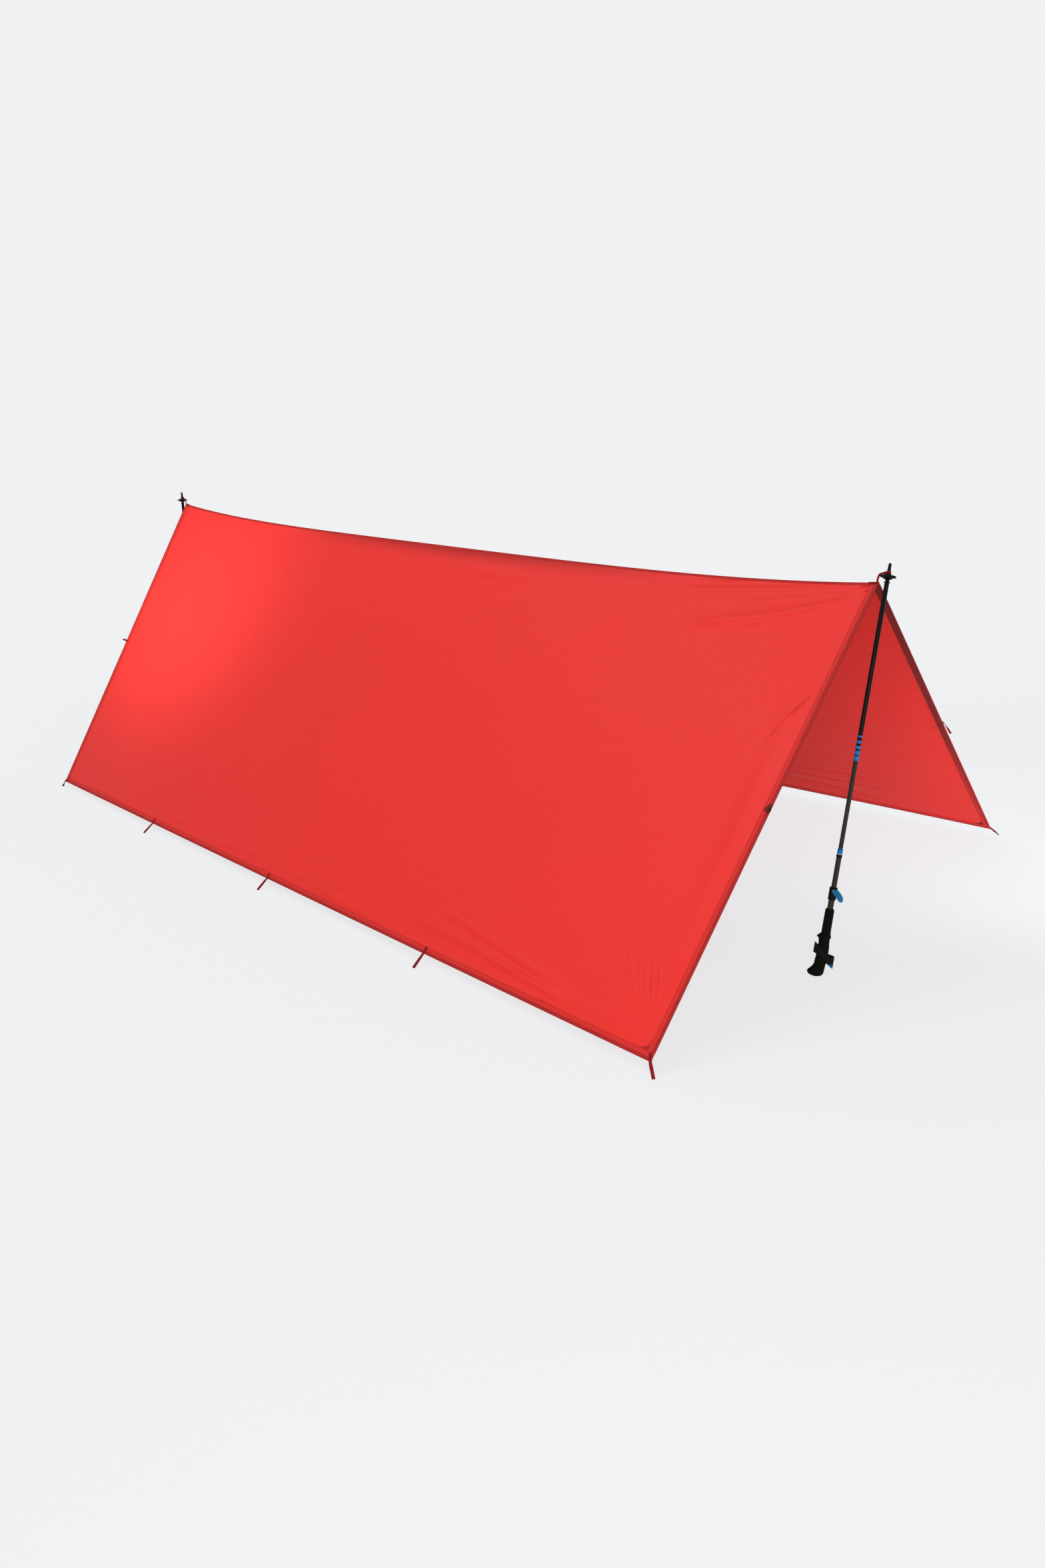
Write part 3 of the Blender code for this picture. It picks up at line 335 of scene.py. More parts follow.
def folds_at(along, down, folds):
    """Height of folds: a half sine of the root of the share of the length ahead, times a bell that widens."""
    height = 0.0
    for start, drop, heading, length, half_width, rise in folds:
        ahead, aside = ahead_and_aside(along, down, start, drop, heading)
        share = np.clip(ahead / length, 0.0, 1.0)
        spread = half_width * (0.5 + share)
        height = height + rise * np.sin(math.pi * np.sqrt(share)) * np.exp(-((aside / spread) ** 2))
    return height


def pulls_at(along, down, pulls):
    """Height of pulls: over each one's length and its width, the square of one less the share squared."""
    height = 0.0
    for middle, drop, heading, half_length, half_width, rise in pulls:
        ahead, aside = ahead_and_aside(along, down, middle, drop, heading)
        over_length = np.clip(1.0 - (ahead / half_length) ** 2, 0.0, 1.0)
        over_width = np.clip(1.0 - (aside / half_width) ** 2, 0.0, 1.0)
        height = height + rise * (over_length * over_width) ** 2
    return height


class Side:
    """One side of the canopy: takes a place on the flat cloth, along and down, to its place in the pitch."""

    def __init__(self, name, sign, back_corner, front_corner, bow, folds, pulls):
        self.name = name
        self.sign = sign
        self.back_corner = np.array(back_corner)
        self.front_corner = np.array(front_corner)
        self.bow = bow
        self.folds = folds
        self.pulls = pulls

    def plain(self, along, down):
        """A straight line from the sagging ridge, 1 - (2 share - 1)^4, to the bowed hem, 4 share (1 - share)."""
        share = along / CLOTH_LENGTH
        sag = RIDGE_SAG * np.maximum(0.0, 1.0 - np.abs(2.0 * share - 1.0) ** 4)
        bow = self.bow * np.maximum(0.0, 4.0 * share * (1.0 - share))
        ridge = mixed(RIDGE_BACK, RIDGE_FRONT, share) - sag[..., None] * UP
        hem = mixed(self.back_corner, self.front_corner, share) + bow[..., None] * UP
        return mixed(ridge, hem, down / CLOTH_WIDTH) + SHIFT

    def relief(self, along, down):
        """A hollow of two half sines plus the folds and pulls, faded out before the bound edges, where it is zero."""
        share_along = (along - HEM_WIDTH) / (CLOTH_LENGTH - 2.0 * HEM_WIDTH)
        share_down = (down - SEAM_LEG) / (CLOTH_WIDTH - HEM_WIDTH - SEAM_LEG)
        on_cloth = (share_along > 0) & (share_along < 1) & (share_down > 0) & (share_down < 1)
        hollow = -SIDE_HOLLOW * np.sin(math.pi * share_along) * np.sin(math.pi * share_down)
        edge = np.minimum(np.minimum(share_along, 1 - share_along), np.minimum(share_down, 1 - share_down))
        broad = folds_at(along, down, self.folds) * np.clip(edge / FOLD_FADE_SHARE, 0.0, 1.0)
        to_edge = np.minimum(np.minimum(share_along, 1 - share_along) * CLOTH_LENGTH,
                             np.minimum(share_down, 1 - share_down) * CLOTH_WIDTH)
        fine = pulls_at(along, down, self.pulls) * np.clip(to_edge / PULL_FADE, 0.0, 1.0)
        return np.where(on_cloth, hollow + broad + fine, 0.0)

    def across(self, surface, along, down, step):
        """The unit normal out of a surface, from its slopes over a small step each way."""
        along_way = surface(along + step, down) - surface(along - step, down)
        down_way = surface(along, down + step) - surface(along, down - step)
        return unit(np.cross(along_way, down_way) * self.sign)

    def middle(self, along, down):
        """The middle layer: the plain surface, raised by the relief along its normal."""
        out_way = self.across(self.plain, along, down, SLOPE_STEP)
        return self.plain(along, down) + out_way * self.relief(along, down)[..., None]

    def place(self, along, down, out):
        """The point at a distance out of the cloth's middle layer."""
        along, down = np.broadcast_arrays(np.asarray(along, float), np.asarray(down, float))
        out_way = self.across(self.middle, along, down, SLOPE_STEP)
        return self.middle(along, down) + out_way * np.asarray(out)[..., None]


near = Side("near", -1.0, (0.001, -0.6765, 0.024), (2.995, -0.8344, 0.028), -0.0015, NEAR_FOLDS, NEAR_PULLS)
far = Side("far", 1.0, (0.001, 0.6790, 0.022), (2.995, 0.8340, 0.022), 0.018, FAR_FOLDS, FAR_PULLS)


def piece(name, points, lay, look, closed_rows=False, zipped=False):
    """Turns rows of points, each a closed ring, into a mesh with the measures in lay on it and its faces out.

    lay has one more column than there are points, and one more row where the last row joins the first too. In a
    zipped piece the first half of each ring lies over its second, and quads between the two close both ends.
    """
    rows, columns = points.shape[:2]
    row, column = np.meshgrid(np.arange(rows if closed_rows else rows - 1), np.arange(columns), indexing="ij")
    steps = ((0, 0), (1, 0), (1, 1), (0, 1))
    faces = np.stack([(row + r) % rows * columns + (column + c) % columns for r, c in steps], -1).reshape(-1, 4)
    marks = np.stack([lay[row + r, column + c] for r, c in steps], -2).reshape(-1, 4, 2)
    if zipped:
        first = np.arange(columns // 2 - 1)
        ring = np.stack((first, first + 1, columns - 2 - first, columns - 1 - first), -1)
        for end, turn in ((0, 1), (rows - 1, -1)):
            faces = np.concatenate((faces, (ring + end * columns)[:, ::turn]))
            marks = np.concatenate((marks, lay[end, ring][:, ::turn]))
    mesh = bpy.data.meshes.new(name)
    mesh.from_pydata(points.reshape(-1, 3).tolist(), [], faces.tolist())
    measure = mesh.uv_layers.new(name="lay")
    measure.data.foreach_set("uv", marks.astype(np.float32).ravel())
    build = bmesh.new()
    build.from_mesh(mesh)
    bmesh.ops.remove_doubles(build, verts=build.verts, dist=2e-6)
    bmesh.ops.recalc_face_normals(build, faces=build.faces)
    build.to_mesh(mesh)
    build.free()
    mesh.materials.append(look)
    mesh.shade_smooth()
    mesh.set_sharp_from_angle(angle=SHARP_ANGLE)
    obj = bpy.data.objects.new(name, mesh)
    bpy.context.scene.collection.objects.link(obj)
    return obj


def layered(name, outer, inner, lay, look):
    """A thin sheet from its outer and inner faces, two grids of equal size, closed along all four edges."""
    points = np.concatenate((outer, inner[:, ::-1]), 1)
    folded = np.concatenate((lay, lay[:, ::-1], lay[:, :1]), 1)
    return piece(name, points, folded, look, zipped=True)


def eased(low, high, count, near_low=0.0, near_high=0.0):
    """Stations between two values that lie closer together towards either end by the given shares."""
    share = np.linspace(0.0, 1.0, count)
    drawn = share - near_low * np.sin(math.pi * share) * (1 - share) / math.pi
    drawn = drawn + near_high * np.sin(math.pi * share) * share / math.pi
    return low + (high - low) * drawn


def flat_grid(along, across):
    """A grid of places on flat cloth, from the stations each way."""
    return np.stack(np.meshgrid(along, across, indexing="ij"), -1)


def measures(along, across):
    """The flat measures of a grid, from those of its rows and of its columns."""
    return np.stack(np.broadcast_arrays(along, across), -1)


def travelled_to(points):
    """The distance covered from the first of a line of points to each of them."""
    return np.concatenate(([0.0], np.cumsum(np.linalg.norm(np.diff(points, axis=0), axis=1))))


# Creases: middle along and down the side, heading, half length, half width, height in millimetres
NEAR_CREASES = (
    (2.612, 0.011, -5, 0.20, 0.008, 2.7), (2.732, 0.131, -15, 0.10, 0.010, 1.8),
    (2.975, 0.011, -18, 0.028, 0.005, 6.5), (2.985, 0.021, -37, 0.020, 0.005, 6.5),
    (2.969, 0.006, -12, 0.020, 0.004, 4.0), (2.662, 1.181, -4, 0.09, 0.008, 3.2),
    (2.328, 1.066, 9, 0.06, 0.010, 2.7), (2.918, 1.048, 63, 0.09, 0.006, 1.7),
    (2.932, 1.040, 67, 0.08, 0.006, 1.7), (2.897, 1.044, 66, 0.09, 0.006, 1.3),
    (2.860, 1.047, 54, 0.10, 0.008, 1.1), (2.948, 0.347, 120, 0.08, 0.007, 3.6),
    (2.919, 0.412, 108, 0.06, 0.007, 2.2), (1.320, 1.184, -2, 0.22, 0.007, 3.6),
    (0.351, 1.175, 1, 0.26, 0.007, 3.2), (1.483, 1.150, 92, 0.03, 0.005, 2.7),
    (2.940, 0.700, 90, 0.60, 0.050, 5.0), (2.250, 1.184, 0, 0.90, 0.030, 2.4),
)
FAR_CREASES = ((2.516, 1.130, 4, 0.30, 0.005, 1.6), (2.546, 1.075, 2, 0.28, 0.005, 1.4))


def creased(cloth, creases):
    """Height of the creases: in each one's long oval, the square of one less the distance from its middle."""
    height = 0.0
    for along, down, heading, half_length, half_width, rise in creases:
        oval = cloth.node("ShaderNodeMapping", {"vector_type": "TEXTURE"}, {
            "Vector": cloth.lay(), "Location": (along, down, 0.0), "Rotation": (0.0, 0.0, math.radians(heading)),
            "Scale": (half_length, half_width, 1.0),
        })
        fall = cloth.node("ShaderNodeTexGradient", {"gradient_type": "QUADRATIC_SPHERE"}, {0: oval}, out=1)
        height = height + fall * rise
    return height


def ripstop(name, creases):
    """Coated nylon: a dotted grid of doubled threads 5 mm apart on a fine weave, cockled, with a soft gloss.

    Under the ridge a painted shade darkens the base colour: a squared fall down from it, most about its middle.
    """
    cloth = Finish(name, CLOTH_RED, 0.5, gloss=0.14)
    lay = cloth.lay()
    along, down, _ = cloth.parts(lay)
    rip = along.line(RIP_PITCH, RIP_HALF).math("MAXIMUM", down.line(RIP_PITCH, RIP_HALF))
    dots = along.line(RIP_PITCH, DOT_HALF) * down.line(RIP_PITCH, DOT_HALF)
    weave = along.line(WEAVE_PITCH, WEAVE_PITCH / 2) * down.line(WEAVE_PITCH, WEAVE_PITCH / 2)
    patchy = cloth.noise(cloth.spot(), 2.4, 2.0)
    mottle = cloth.noise(lay, 190.0, 2.0)
    tone = cloth.mix((patchy - 0.5) * 0.9 + (mottle - 0.5) * 1.0 + 0.55, CLOTH_DEEP, CLOTH_RED)
    speck = ((cloth.noise(lay, 380.0, 2.0) - 0.40) * 3.0).math("MAXIMUM", 0.0)
    tone = cloth.mix(speck * (dots * 0.40 + rip * 0.03), tone, PAINTED_SHADE_AND_DOT_RED)
    # Painted shade: the base colour darkens towards the ridge, most about its middle.
    beside = (1.0 - down / PAINTED_SHADE_DOWN).math("MAXIMUM", 0.0)
    from_centre = (along - PAINTED_SHADE_MIDDLE) / PAINTED_SHADE_REACH
    painted_shade = beside * beside * (1.0 - from_centre * from_centre).math("MAXIMUM", 0.0)
    cloth.set(**{"Base Color": cloth.mix(painted_shade * 0.92, tone, PAINTED_SHADE_AND_DOT_RED)})
    cockle = cloth.noise(lay, 1.0, 2.0, (5.0, 34.0, 1.0)) + cloth.noise(lay, 1.0, 2.0, (30.0, 22.0, 1.0)) * 0.5
    ripple = cloth.noise(lay, 1.0, 1.0, (70.0, 90.0, 1.0))
    cloth.set(Roughness=(patchy - 0.5) * 0.12 + rip * 0.05 + 0.5)
    cloth.raise_by(creased(cloth, creases) + cockle * 1.3 + ripple * 0.16 + rip * 0.035 + weave * 0.035)
    return cloth.material


def hang(obj):
    """Sets the piece's placing into its mesh."""
    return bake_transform(obj)


for side, creases in ((near, NEAR_CREASES), (far, FAR_CREASES)):
    flat = flat_grid(
        eased(0.0, CLOTH_LENGTH, LINES_ALONG, 0.2, 0.4), eased(SEAM_LEG + CLEAR, CLOTH_WIDTH, LINES_DOWN, 0.35, 0.4)
    )
    faces = [side.place(flat[..., 0], flat[..., 1], out) for out in (CLOTH_THICK / 2, -CLOTH_THICK / 2)]
    cloth = layered(f"{side.name}_cloth", *faces, flat, ripstop(f"red_ripstop_{side.name}", creases))
    hang(cloth)
    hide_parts(f"{side.name}_panel")


# Ridge seam: the two sides are felled together along the ridge, folded flat and sewn down with two rows of thread. It
# is the same red cloth, four layers thick, and carries the pull between the poles. Its colours are painted darker
# than the cloth's, as shade along the ridge.
SEAM_ROWS = (0.0022, 0.0062)
# The seam's reds: the cloth's red, painted darker as shade along the ridge.
SEAM_RED_PAINTED_SHADE = (0.50, 0.018, 0.014)
SEAM_DEEP_PAINTED_SHADE = (0.36, 0.012, 0.010)
THREAD_DARK = (0.30, 0.012, 0.012)
THREAD_HALF = 0.00055
STITCH_PITCH = 0.0030
STITCH_HALF = 0.0013
VALLEY_HALF = 0.0022
CROWN_HALF = 0.0020


def sewn_cloth(name, light, deep, rows, ribs=0.0009, rim=None, inner=None):
    """Woven tape or doubled cloth: fine ribs across it, and rows of stitches along it that sink into the cloth.

    rim gives a distance across, past which the tape lies single, and its colour there. inner gives the colour of a
    painted shade on the face that is counted above zero, and how far along it fades back.
    """
    tape = Finish(name, light, 0.62, gloss=0.14)
    lay = tape.lay()
    along, across, _ = tape.parts(lay)
    rib = along.line(ribs, ribs / 2)
    weft = across.line(0.0008, 0.0004)
    worn = tape.noise(lay, 1.0, 2.0, (26.0, 160.0, 1.0))
    seam = None
    for row in rows:
        beside = (across.math("ABSOLUTE") - row).math("ABSOLUTE")
        seam = beside if seam is None else seam.math("MINIMUM", beside)
    stitch = (1.0 - seam / THREAD_HALF).math("MAXIMUM", 0.0)
    stitch = stitch * along.line(STITCH_PITCH, STITCH_HALF).math("MULTIPLY", 4.0, clamp=True)
    valley = (1.0 - seam / VALLEY_HALF).math("MAXIMUM", 0.0)
    pucker = valley * along.line(2 * STITCH_PITCH, STITCH_PITCH)
    tone = tape.mix((worn - 0.5) * 1.4 + 0.5, deep, light)
    if rim:
        tone = tape.mix(1.0 - across.math("ABSOLUTE").below(rim[0], 0.0012), tone, rim[1])
    # Painted shade on the inner face, fading out along the tape.
    if inner:
        share = (1.0 - across.below(0.0, 0.0004)) * along.below(inner[1], inner[2])
        tone = tape.mix(share, tone, inner[0])
    tape.set(**{"Base Color": tape.mix(stitch.math("MULTIPLY", 1.3, clamp=True) * 0.7, tone, THREAD_DARK)})
    tape.set(Roughness=(worn - 0.5) * 0.16 + rib * 0.05 + 0.58)
    tape.raise_by(rib * 0.05 + weft * 0.03 + worn * 0.25 - valley * 0.35 + pucker * 0.22 + stitch * 0.28)
    return tape.material


seam_look = sewn_cloth("felled_seam", SEAM_RED_PAINTED_SHADE, SEAM_DEEP_PAINTED_SHADE, SEAM_ROWS)
long_run = np.linspace(0.0, CLOTH_LENGTH, 300)


def over_ridge(along, across, out):
    """A strip over the ridge: each leg on its side's face, and a parabola through the apex over the inner 2 mm."""
    reach = np.maximum(np.abs(across), CROWN_HALF)
    legs = np.where((across < 0)[..., None], near.place(along, reach, out), far.place(along, reach, out))
    edge_near, edge_far = (side.place(along, np.full_like(along, CROWN_HALF), out) for side in (near, far))
    normal_up = near.across(near.plain, along, np.zeros_like(along), SLOPE_STEP)[..., 2]
    apex = near.plain(along, np.zeros_like(along)) + UP * (out / normal_up)[..., None]
    share = np.clip(across / CROWN_HALF * 0.5 + 0.5, 0.0, 1.0)[..., None]
    crown = edge_near * (1 - share) ** 2 + apex * 2 * share * (1 - share) + edge_far * share**2
    return np.where((np.abs(across) < CROWN_HALF)[..., None], crown, legs)


def ridge_strip(name, along, half_width, low, high, look, columns=23):
    """A strip folded over the ridge between two distances out of the cloth."""
    grid = flat_grid(along, np.linspace(-half_width, half_width, columns))
    faces = [over_ridge(grid[..., 0], grid[..., 1], np.full(grid.shape[:2], out)) for out in (high, low)]
    return layered(name, *faces, grid, look)


seam = ridge_strip("felled_ridge_seam", long_run, SEAM_LEG, -CLOTH_THICK / 2, CLOTH_THICK / 2, seam_look)
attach(seam, "canopy")
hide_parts("ridge_seam")


# Bound edges: an 18 mm tape, folded round the cloth's edge and sewn through near both its rims, binds the long
# edge in one length and each short edge half in another, which butts against the first.
TAPE_THICK = 0.0005
# The tape's reds are partly its own darker red and partly painted shade, darker than the tape is under plain light.
TAPE_RED_AND_PAINTED_SHADE = (0.420, 0.017, 0.014)
TAPE_DEEP_AND_PAINTED_SHADE = (0.320, 0.013, 0.011)
TAPE_SINGLE = (0.620, 0.024, 0.019)
# Painted shade for the inner face of the mouth tapes.
TAPE_INNER_PAINTED_SHADE = (0.200, 0.010, 0.009)
TAPE_ROWS = (0.0100, 0.0166)
TAPE_RIM = (0.0102, TAPE_SINGLE)
OUTER_SWELL = 0.00018
INNER_SWELL = 0.00010
tape_look = sewn_cloth("bound_edge_tape", TAPE_RED_AND_PAINTED_SHADE, TAPE_DEEP_AND_PAINTED_SHADE, TAPE_ROWS, rim=TAPE_RIM)
# The mouth tapes carry a painted shade on their inner face, full from the ridge down and fading out towards the hem.
mouth_tape_look = sewn_cloth(
    "mouth_edge_tape", TAPE_RED_AND_PAINTED_SHADE, TAPE_DEEP_AND_PAINTED_SHADE, TAPE_ROWS, rim=TAPE_RIM, inner=(TAPE_INNER_PAINTED_SHADE, 0.90, 0.50)
)


def binding(name, side, run, along_edge, look):
    """A tape folded round an edge: out over the outer face, round in a half circle, and back under the inner one.

    The way across runs from the outer rim to the inner rim, and the tape swells by a half sine between them.
    """
    inner = CLOTH_THICK / 2 + CLEAR
    outer = inner + TAPE_THICK
    flat_steps = np.linspace(HEM_WIDTH, 0.0, 9)
    turn = np.linspace(0.0, math.pi, 7)[1:-1]

    def track(radius, swell):
        """Distance in from the edge and out of the cloth, along one face of the tape."""
        puff = swell * np.sin(math.pi * flat_steps / HEM_WIDTH)
        inward = np.concatenate((flat_steps, -CLEAR - radius * 0.45 * np.sin(turn), flat_steps[::-1]))
        out = np.concatenate((radius + puff, radius * np.cos(turn), -(radius + puff)[::-1]))
        return inward, out

    outside = track(outer, OUTER_SWELL)
    inside = track(inner, INNER_SWELL)
    width = np.linspace(-1.0, 1.0, len(outside[0])) * HEM_WIDTH
    inward = np.concatenate((outside[0], inside[0][::-1]))
    out = np.concatenate((outside[1], inside[1][::-1]))
    across = np.concatenate((width, width[::-1], width[:1]))
    place = along_edge(run[:, None], inward[None, :])
    points = side.place(place[0], place[1], np.broadcast_to(out, (len(run), len(out))))
    return piece(name, points, measures(run[:, None], across[None, :]), look, zipped=True)


for side in (near, far):
    lower = binding(
        f"{side.name}_lower_binding", side, long_run,
        lambda run, inward: (run + 0 * inward, CLOTH_WIDTH - inward + 0 * run), tape_look,
    )
    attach(lower, f"{side.name}_side")
    edges = [("lower", lower)]
    for end, edge, turn, look in (("back", 0.0, 1.0, tape_look), ("front", CLOTH_LENGTH, -1.0, mouth_tape_look)):
        edges.append((end, hang(binding(
            f"{side.name}_{end}_binding", side,
            np.linspace(SEAM_LEG + CLEAR, CLOTH_WIDTH - HEM_WIDTH - CLEAR, 120),
            lambda run, inward, edge=edge, turn=turn: (edge + turn * inward + 0 * run, run + 0 * inward), look,
        ))))
    for end, edge_tape in edges:
        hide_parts(f"{side.name}_{end}_hem")


# Corner reinforcement: doublings of the same tape cloth that fill the inner corners between the bindings, bonded on
# the inner face and cut to a hollow quarter round; their colour is painted darker than the tape, as shade in the
# inner corners. A thinner facing of the same cut lies over the outer face where two bindings meet.
PATCH_THICK = 0.0006
FACING_THICK = 0.0004
# Painted shade: the doublings' red, darker than the tape's own.
PATCH_PAINTED_SHADE_RED = (0.200, 0.008, 0.008)
PATCH_PAINTED_SHADE_DEEP = (0.130, 0.006, 0.006)
patch_shade_look = sewn_cloth("corner_patch_cloth", PATCH_PAINTED_SHADE_RED, PATCH_PAINTED_SHADE_DEEP, (0.004,), ribs=0.0012)

# Inner corners: edge, way in from it, level, way on from it, radius of the doubling and of any facing outside
BOTTOM = CLOTH_WIDTH - HEM_WIDTH - CLEAR
TOP = SEAM_LEG + 2.0 * CLEAR
INNER_CORNERS = {
    "back_corner": (0.0, 1.0, BOTTOM, -1.0, 0.028, 0.020),
    "front_corner": (CLOTH_LENGTH, -1.0, BOTTOM, -1.0, 0.028, 0.027),
    "back_ridge": (0.0, 1.0, TOP, 1.0, 0.035, None),
    "front_ridge": (CLOTH_LENGTH, -1.0, TOP, 1.0, 0.035, None),
}


def fillet(side, corner, way, radius, low, high, name, look):
    """A doubling in an inner corner, from its L of two edges, at share 1, to a hollow quarter arc, at share 0."""
    theta = np.linspace(0.0, 1.0, 25)[:, None]
    share = np.linspace(0.0, 1.0, 8)[None, :]
    arc = (1 - np.cos(theta * math.pi / 2), 1 - np.sin(theta * math.pi / 2))
    rim = (np.maximum(0.0, 2 * theta - 1), np.maximum(0.0, 1 - 2 * theta))
    along_way = (arc[0] * (1 - share) + rim[0] * share) * radius
    down_way = (arc[1] * (1 - share) + rim[1] * share) * radius
    along, down = corner[0] + way[0] * along_way, corner[1] + way[1] * down_way
    faces = [side.place(along, down, out) for out in (high, low)]
    doubling = layered(name, *faces, np.stack((along_way, down_way), -1), look)
    return doubling


for side in (near, far):
    for corner, (edge, turn, level, fall, inner_radius, outer_radius) in INNER_CORNERS.items():
        place = (edge + turn * (HEM_WIDTH + CLEAR), level)
        under = -CLOTH_THICK / 2 - CLEAR
        patch = fillet(side, place, (turn, fall), inner_radius, under - PATCH_THICK, under,
                       f"{side.name}_{corner}_doubling", patch_shade_look)
        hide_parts(f"{side.name}_{corner}_patch")
        if outer_radius is None:
            hang(patch)
            continue
        over = CLOTH_THICK / 2 + CLEAR
        facing = fillet(side, place, (turn, fall), outer_radius, over, over + FACING_THICK,
                        f"{side.name}_{corner}_facing", tape_look)
        for doubling in (patch, facing):
            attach(doubling, f"{side.name}_side")


# Peg and guy loops: 7.5 mm maroon webbing, doubled into a loop of 29 to 45 mm and bar-tacked by its two tails to the
# outer face at each corner, three times along each long edge and once half way up each short edge. The one on the
# near front edge lies folded along it and is bunched up; its colours are a darker brown copy of the webbing's,
# painted shade.
WEB_WIDTH = 0.0075
WEB_TOTAL = 0.0012
WEB_SINGLE = 0.00062
LOOP_START = 0.0015
LONG_TAIL = 0.018
SHORT_TAIL = 0.010
SHUT_BORE = 0.0003
LYING_BORE = 0.0042
BUNCHED_SPREAD = 1.4
BUNCHED_DOWN = 0.0035
LEG_BELLY = 0.0004
ROOT_STEP = 0.004
DROOP = math.radians(52)
PRESSED = 0.0004
WEB_MAROON = (0.330, 0.011, 0.013)
WEB_DARK = (0.150, 0.007, 0.008)
# Painted shade: a darker brown copy of the webbing's colours, for the bunched loop.
BUNCHED_PAINTED_SHADE = (0.160, 0.028, 0.017)
BUNCHED_PAINTED_SHADE_DARK = (0.090, 0.018, 0.011)
THREAD_PITCH = 0.0011


def webbing(name, light, dark, width, edge=None, edge_width=0.0, stretch=None):
    """Woven webbing: a herringbone of slanted threads across the way, tighter at its two selvedges.

    edge colours the lower selvedge, over a stretch given by its middle and half its length along.
    """
    web = Finish(name, light, 0.78, gloss=0.08)
    lay = web.lay()
    along, across, _ = web.parts(lay)
    lean = across.from_line(0.0030)
    thread = (along + lean).line(THREAD_PITCH, THREAD_PITCH / 2)
    fuzz = web.noise(lay, 900.0, 2.0)
    tone = web.mix(thread * 0.6 + (fuzz - 0.5) * 0.5 + 0.2, dark, light)
    selvedge = (width / 2 - across.math("ABSOLUTE")).below(0.0008, 0.0004)
    if edge:
        stripe = (across + width / 2).below(edge_width, 0.0003)
        stripe = stripe * (along - stretch[0]).math("ABSOLUTE").below(stretch[1], 0.001)
        tone = web.mix(stripe, tone, edge)
    web.set(**{"Base Color": tone, "Roughness": thread * 0.1 + 0.72})
    web.raise_by(thread * 0.14 + selvedge * 0.12 + fuzz * 0.05)
    return web.material


web_look = webbing("maroon_webbing_weave", WEB_MAROON, WEB_DARK, WEB_WIDTH)
bunched_shade_look = webbing("brown_bunched_webbing", BUNCHED_PAINTED_SHADE, BUNCHED_PAINTED_SHADE_DARK, WEB_WIDTH)


def ribbon(name, path, width, thick, to_place, look, body):
    """Webbing carried along a path in a plane, length and height, then set in the object by to_place.

    Its section is a flat strip with round selvedges: half a circle of the thickness at both sides.
    """
    way = unit(np.gradient(path, axis=0))
    half = width / 2
    side_steps = np.linspace(-half + thick / 2, half - thick / 2, 7)
    round_turn = np.linspace(0.0, math.pi / 2, 4)[1:]
    upper_w = np.concatenate((-half + thick / 2 - np.sin(round_turn[::-1]) * thick / 2, side_steps,
                              half - thick / 2 + np.sin(round_turn) * thick / 2))
    upper_n = np.concatenate((np.cos(round_turn[::-1]), np.ones(7), np.cos(round_turn))) * thick / 2
    upper_n = np.maximum(upper_n, thick * 0.06)
    w = np.concatenate((upper_w, upper_w[::-1]))
    n = np.concatenate((upper_n, -upper_n[::-1]))
    s_all = path[:, 0, None] - way[:, 1, None] * n[None, :]
    n_all = path[:, 1, None] + way[:, 0, None] * n[None, :]
    points = to_place(s_all, n_all, np.broadcast_to(w, s_all.shape))
    lay = measures(travelled_to(path)[:, None], np.append(w, w[0])[None, :])
    made = piece(name, points, lay, look, zipped=True)
    if body:
        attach(made, body)
    return made


def folded_path(length, tail, level, bore, lying):
    """The path of a folded loop: out along the upper tail, up a leg, round the eye, and back to the lower tail."""
    outer = bore + WEB_TOTAL
    mid_radius = outer - WEB_SINGLE / 2
    centre = length - outer
    middle = level + WEB_TOTAL / 2 + bore if lying else level
    root = np.array((LOOP_START, level))
    lift = np.array((0.0, WEB_SINGLE / 2))
    span = math.hypot(centre - LOOP_START, middle - level)
    reach = math.pi - math.acos(min(1.0, mid_radius / span))
    tilt = math.atan2(middle - level, centre - LOOP_START)
    angle = np.linspace(tilt + reach, tilt - reach, 27)
    eye = np.stack((centre + mid_radius * np.cos(angle), middle + mid_radius * np.sin(angle)), -1)

    def leg(first, last, bend):
        """A slightly bellied line between two points."""
        share = np.linspace(0.0, 1.0, 12)[:, None]
        return first * (1 - share) + last * share + np.sin(math.pi * share) * np.array((0.0, bend))

    tail_end = np.array((-tail, level))
    up_leg = leg(root + lift, eye[0], LEG_BELLY)[:-1]
    down_leg = leg(eye[-1], root - lift, 0.0 if lying else -LEG_BELLY)[1:]
    return np.concatenate((
        leg(tail_end + lift, root + lift, 0.0)[:-1], up_leg, eye, down_leg,
        leg(root - lift, tail_end - lift, 0.0)[1:],
    )), centre


def level_across(way):
    return unit(np.cross(way, UP))


def ground_way(root, way, out_way, reach, level, bore):
    """The way a loop points when the middle of its eye is just low enough to lie on the ground."""
    goal = bore + WEB_TOTAL - PRESSED
    low, high = math.radians(-70), math.radians(70)
    for _ in range(50):
        tilt = (low + high) / 2
        far_way = way * math.cos(tilt) + out_way * math.sin(tilt)
        lift_way = np.cross(level_across(far_way), far_way)
        if (root + far_way * reach)[2] + abs(lift_way[2]) * level > goal:
            high = tilt
        else:
            low = tilt
    return far_way


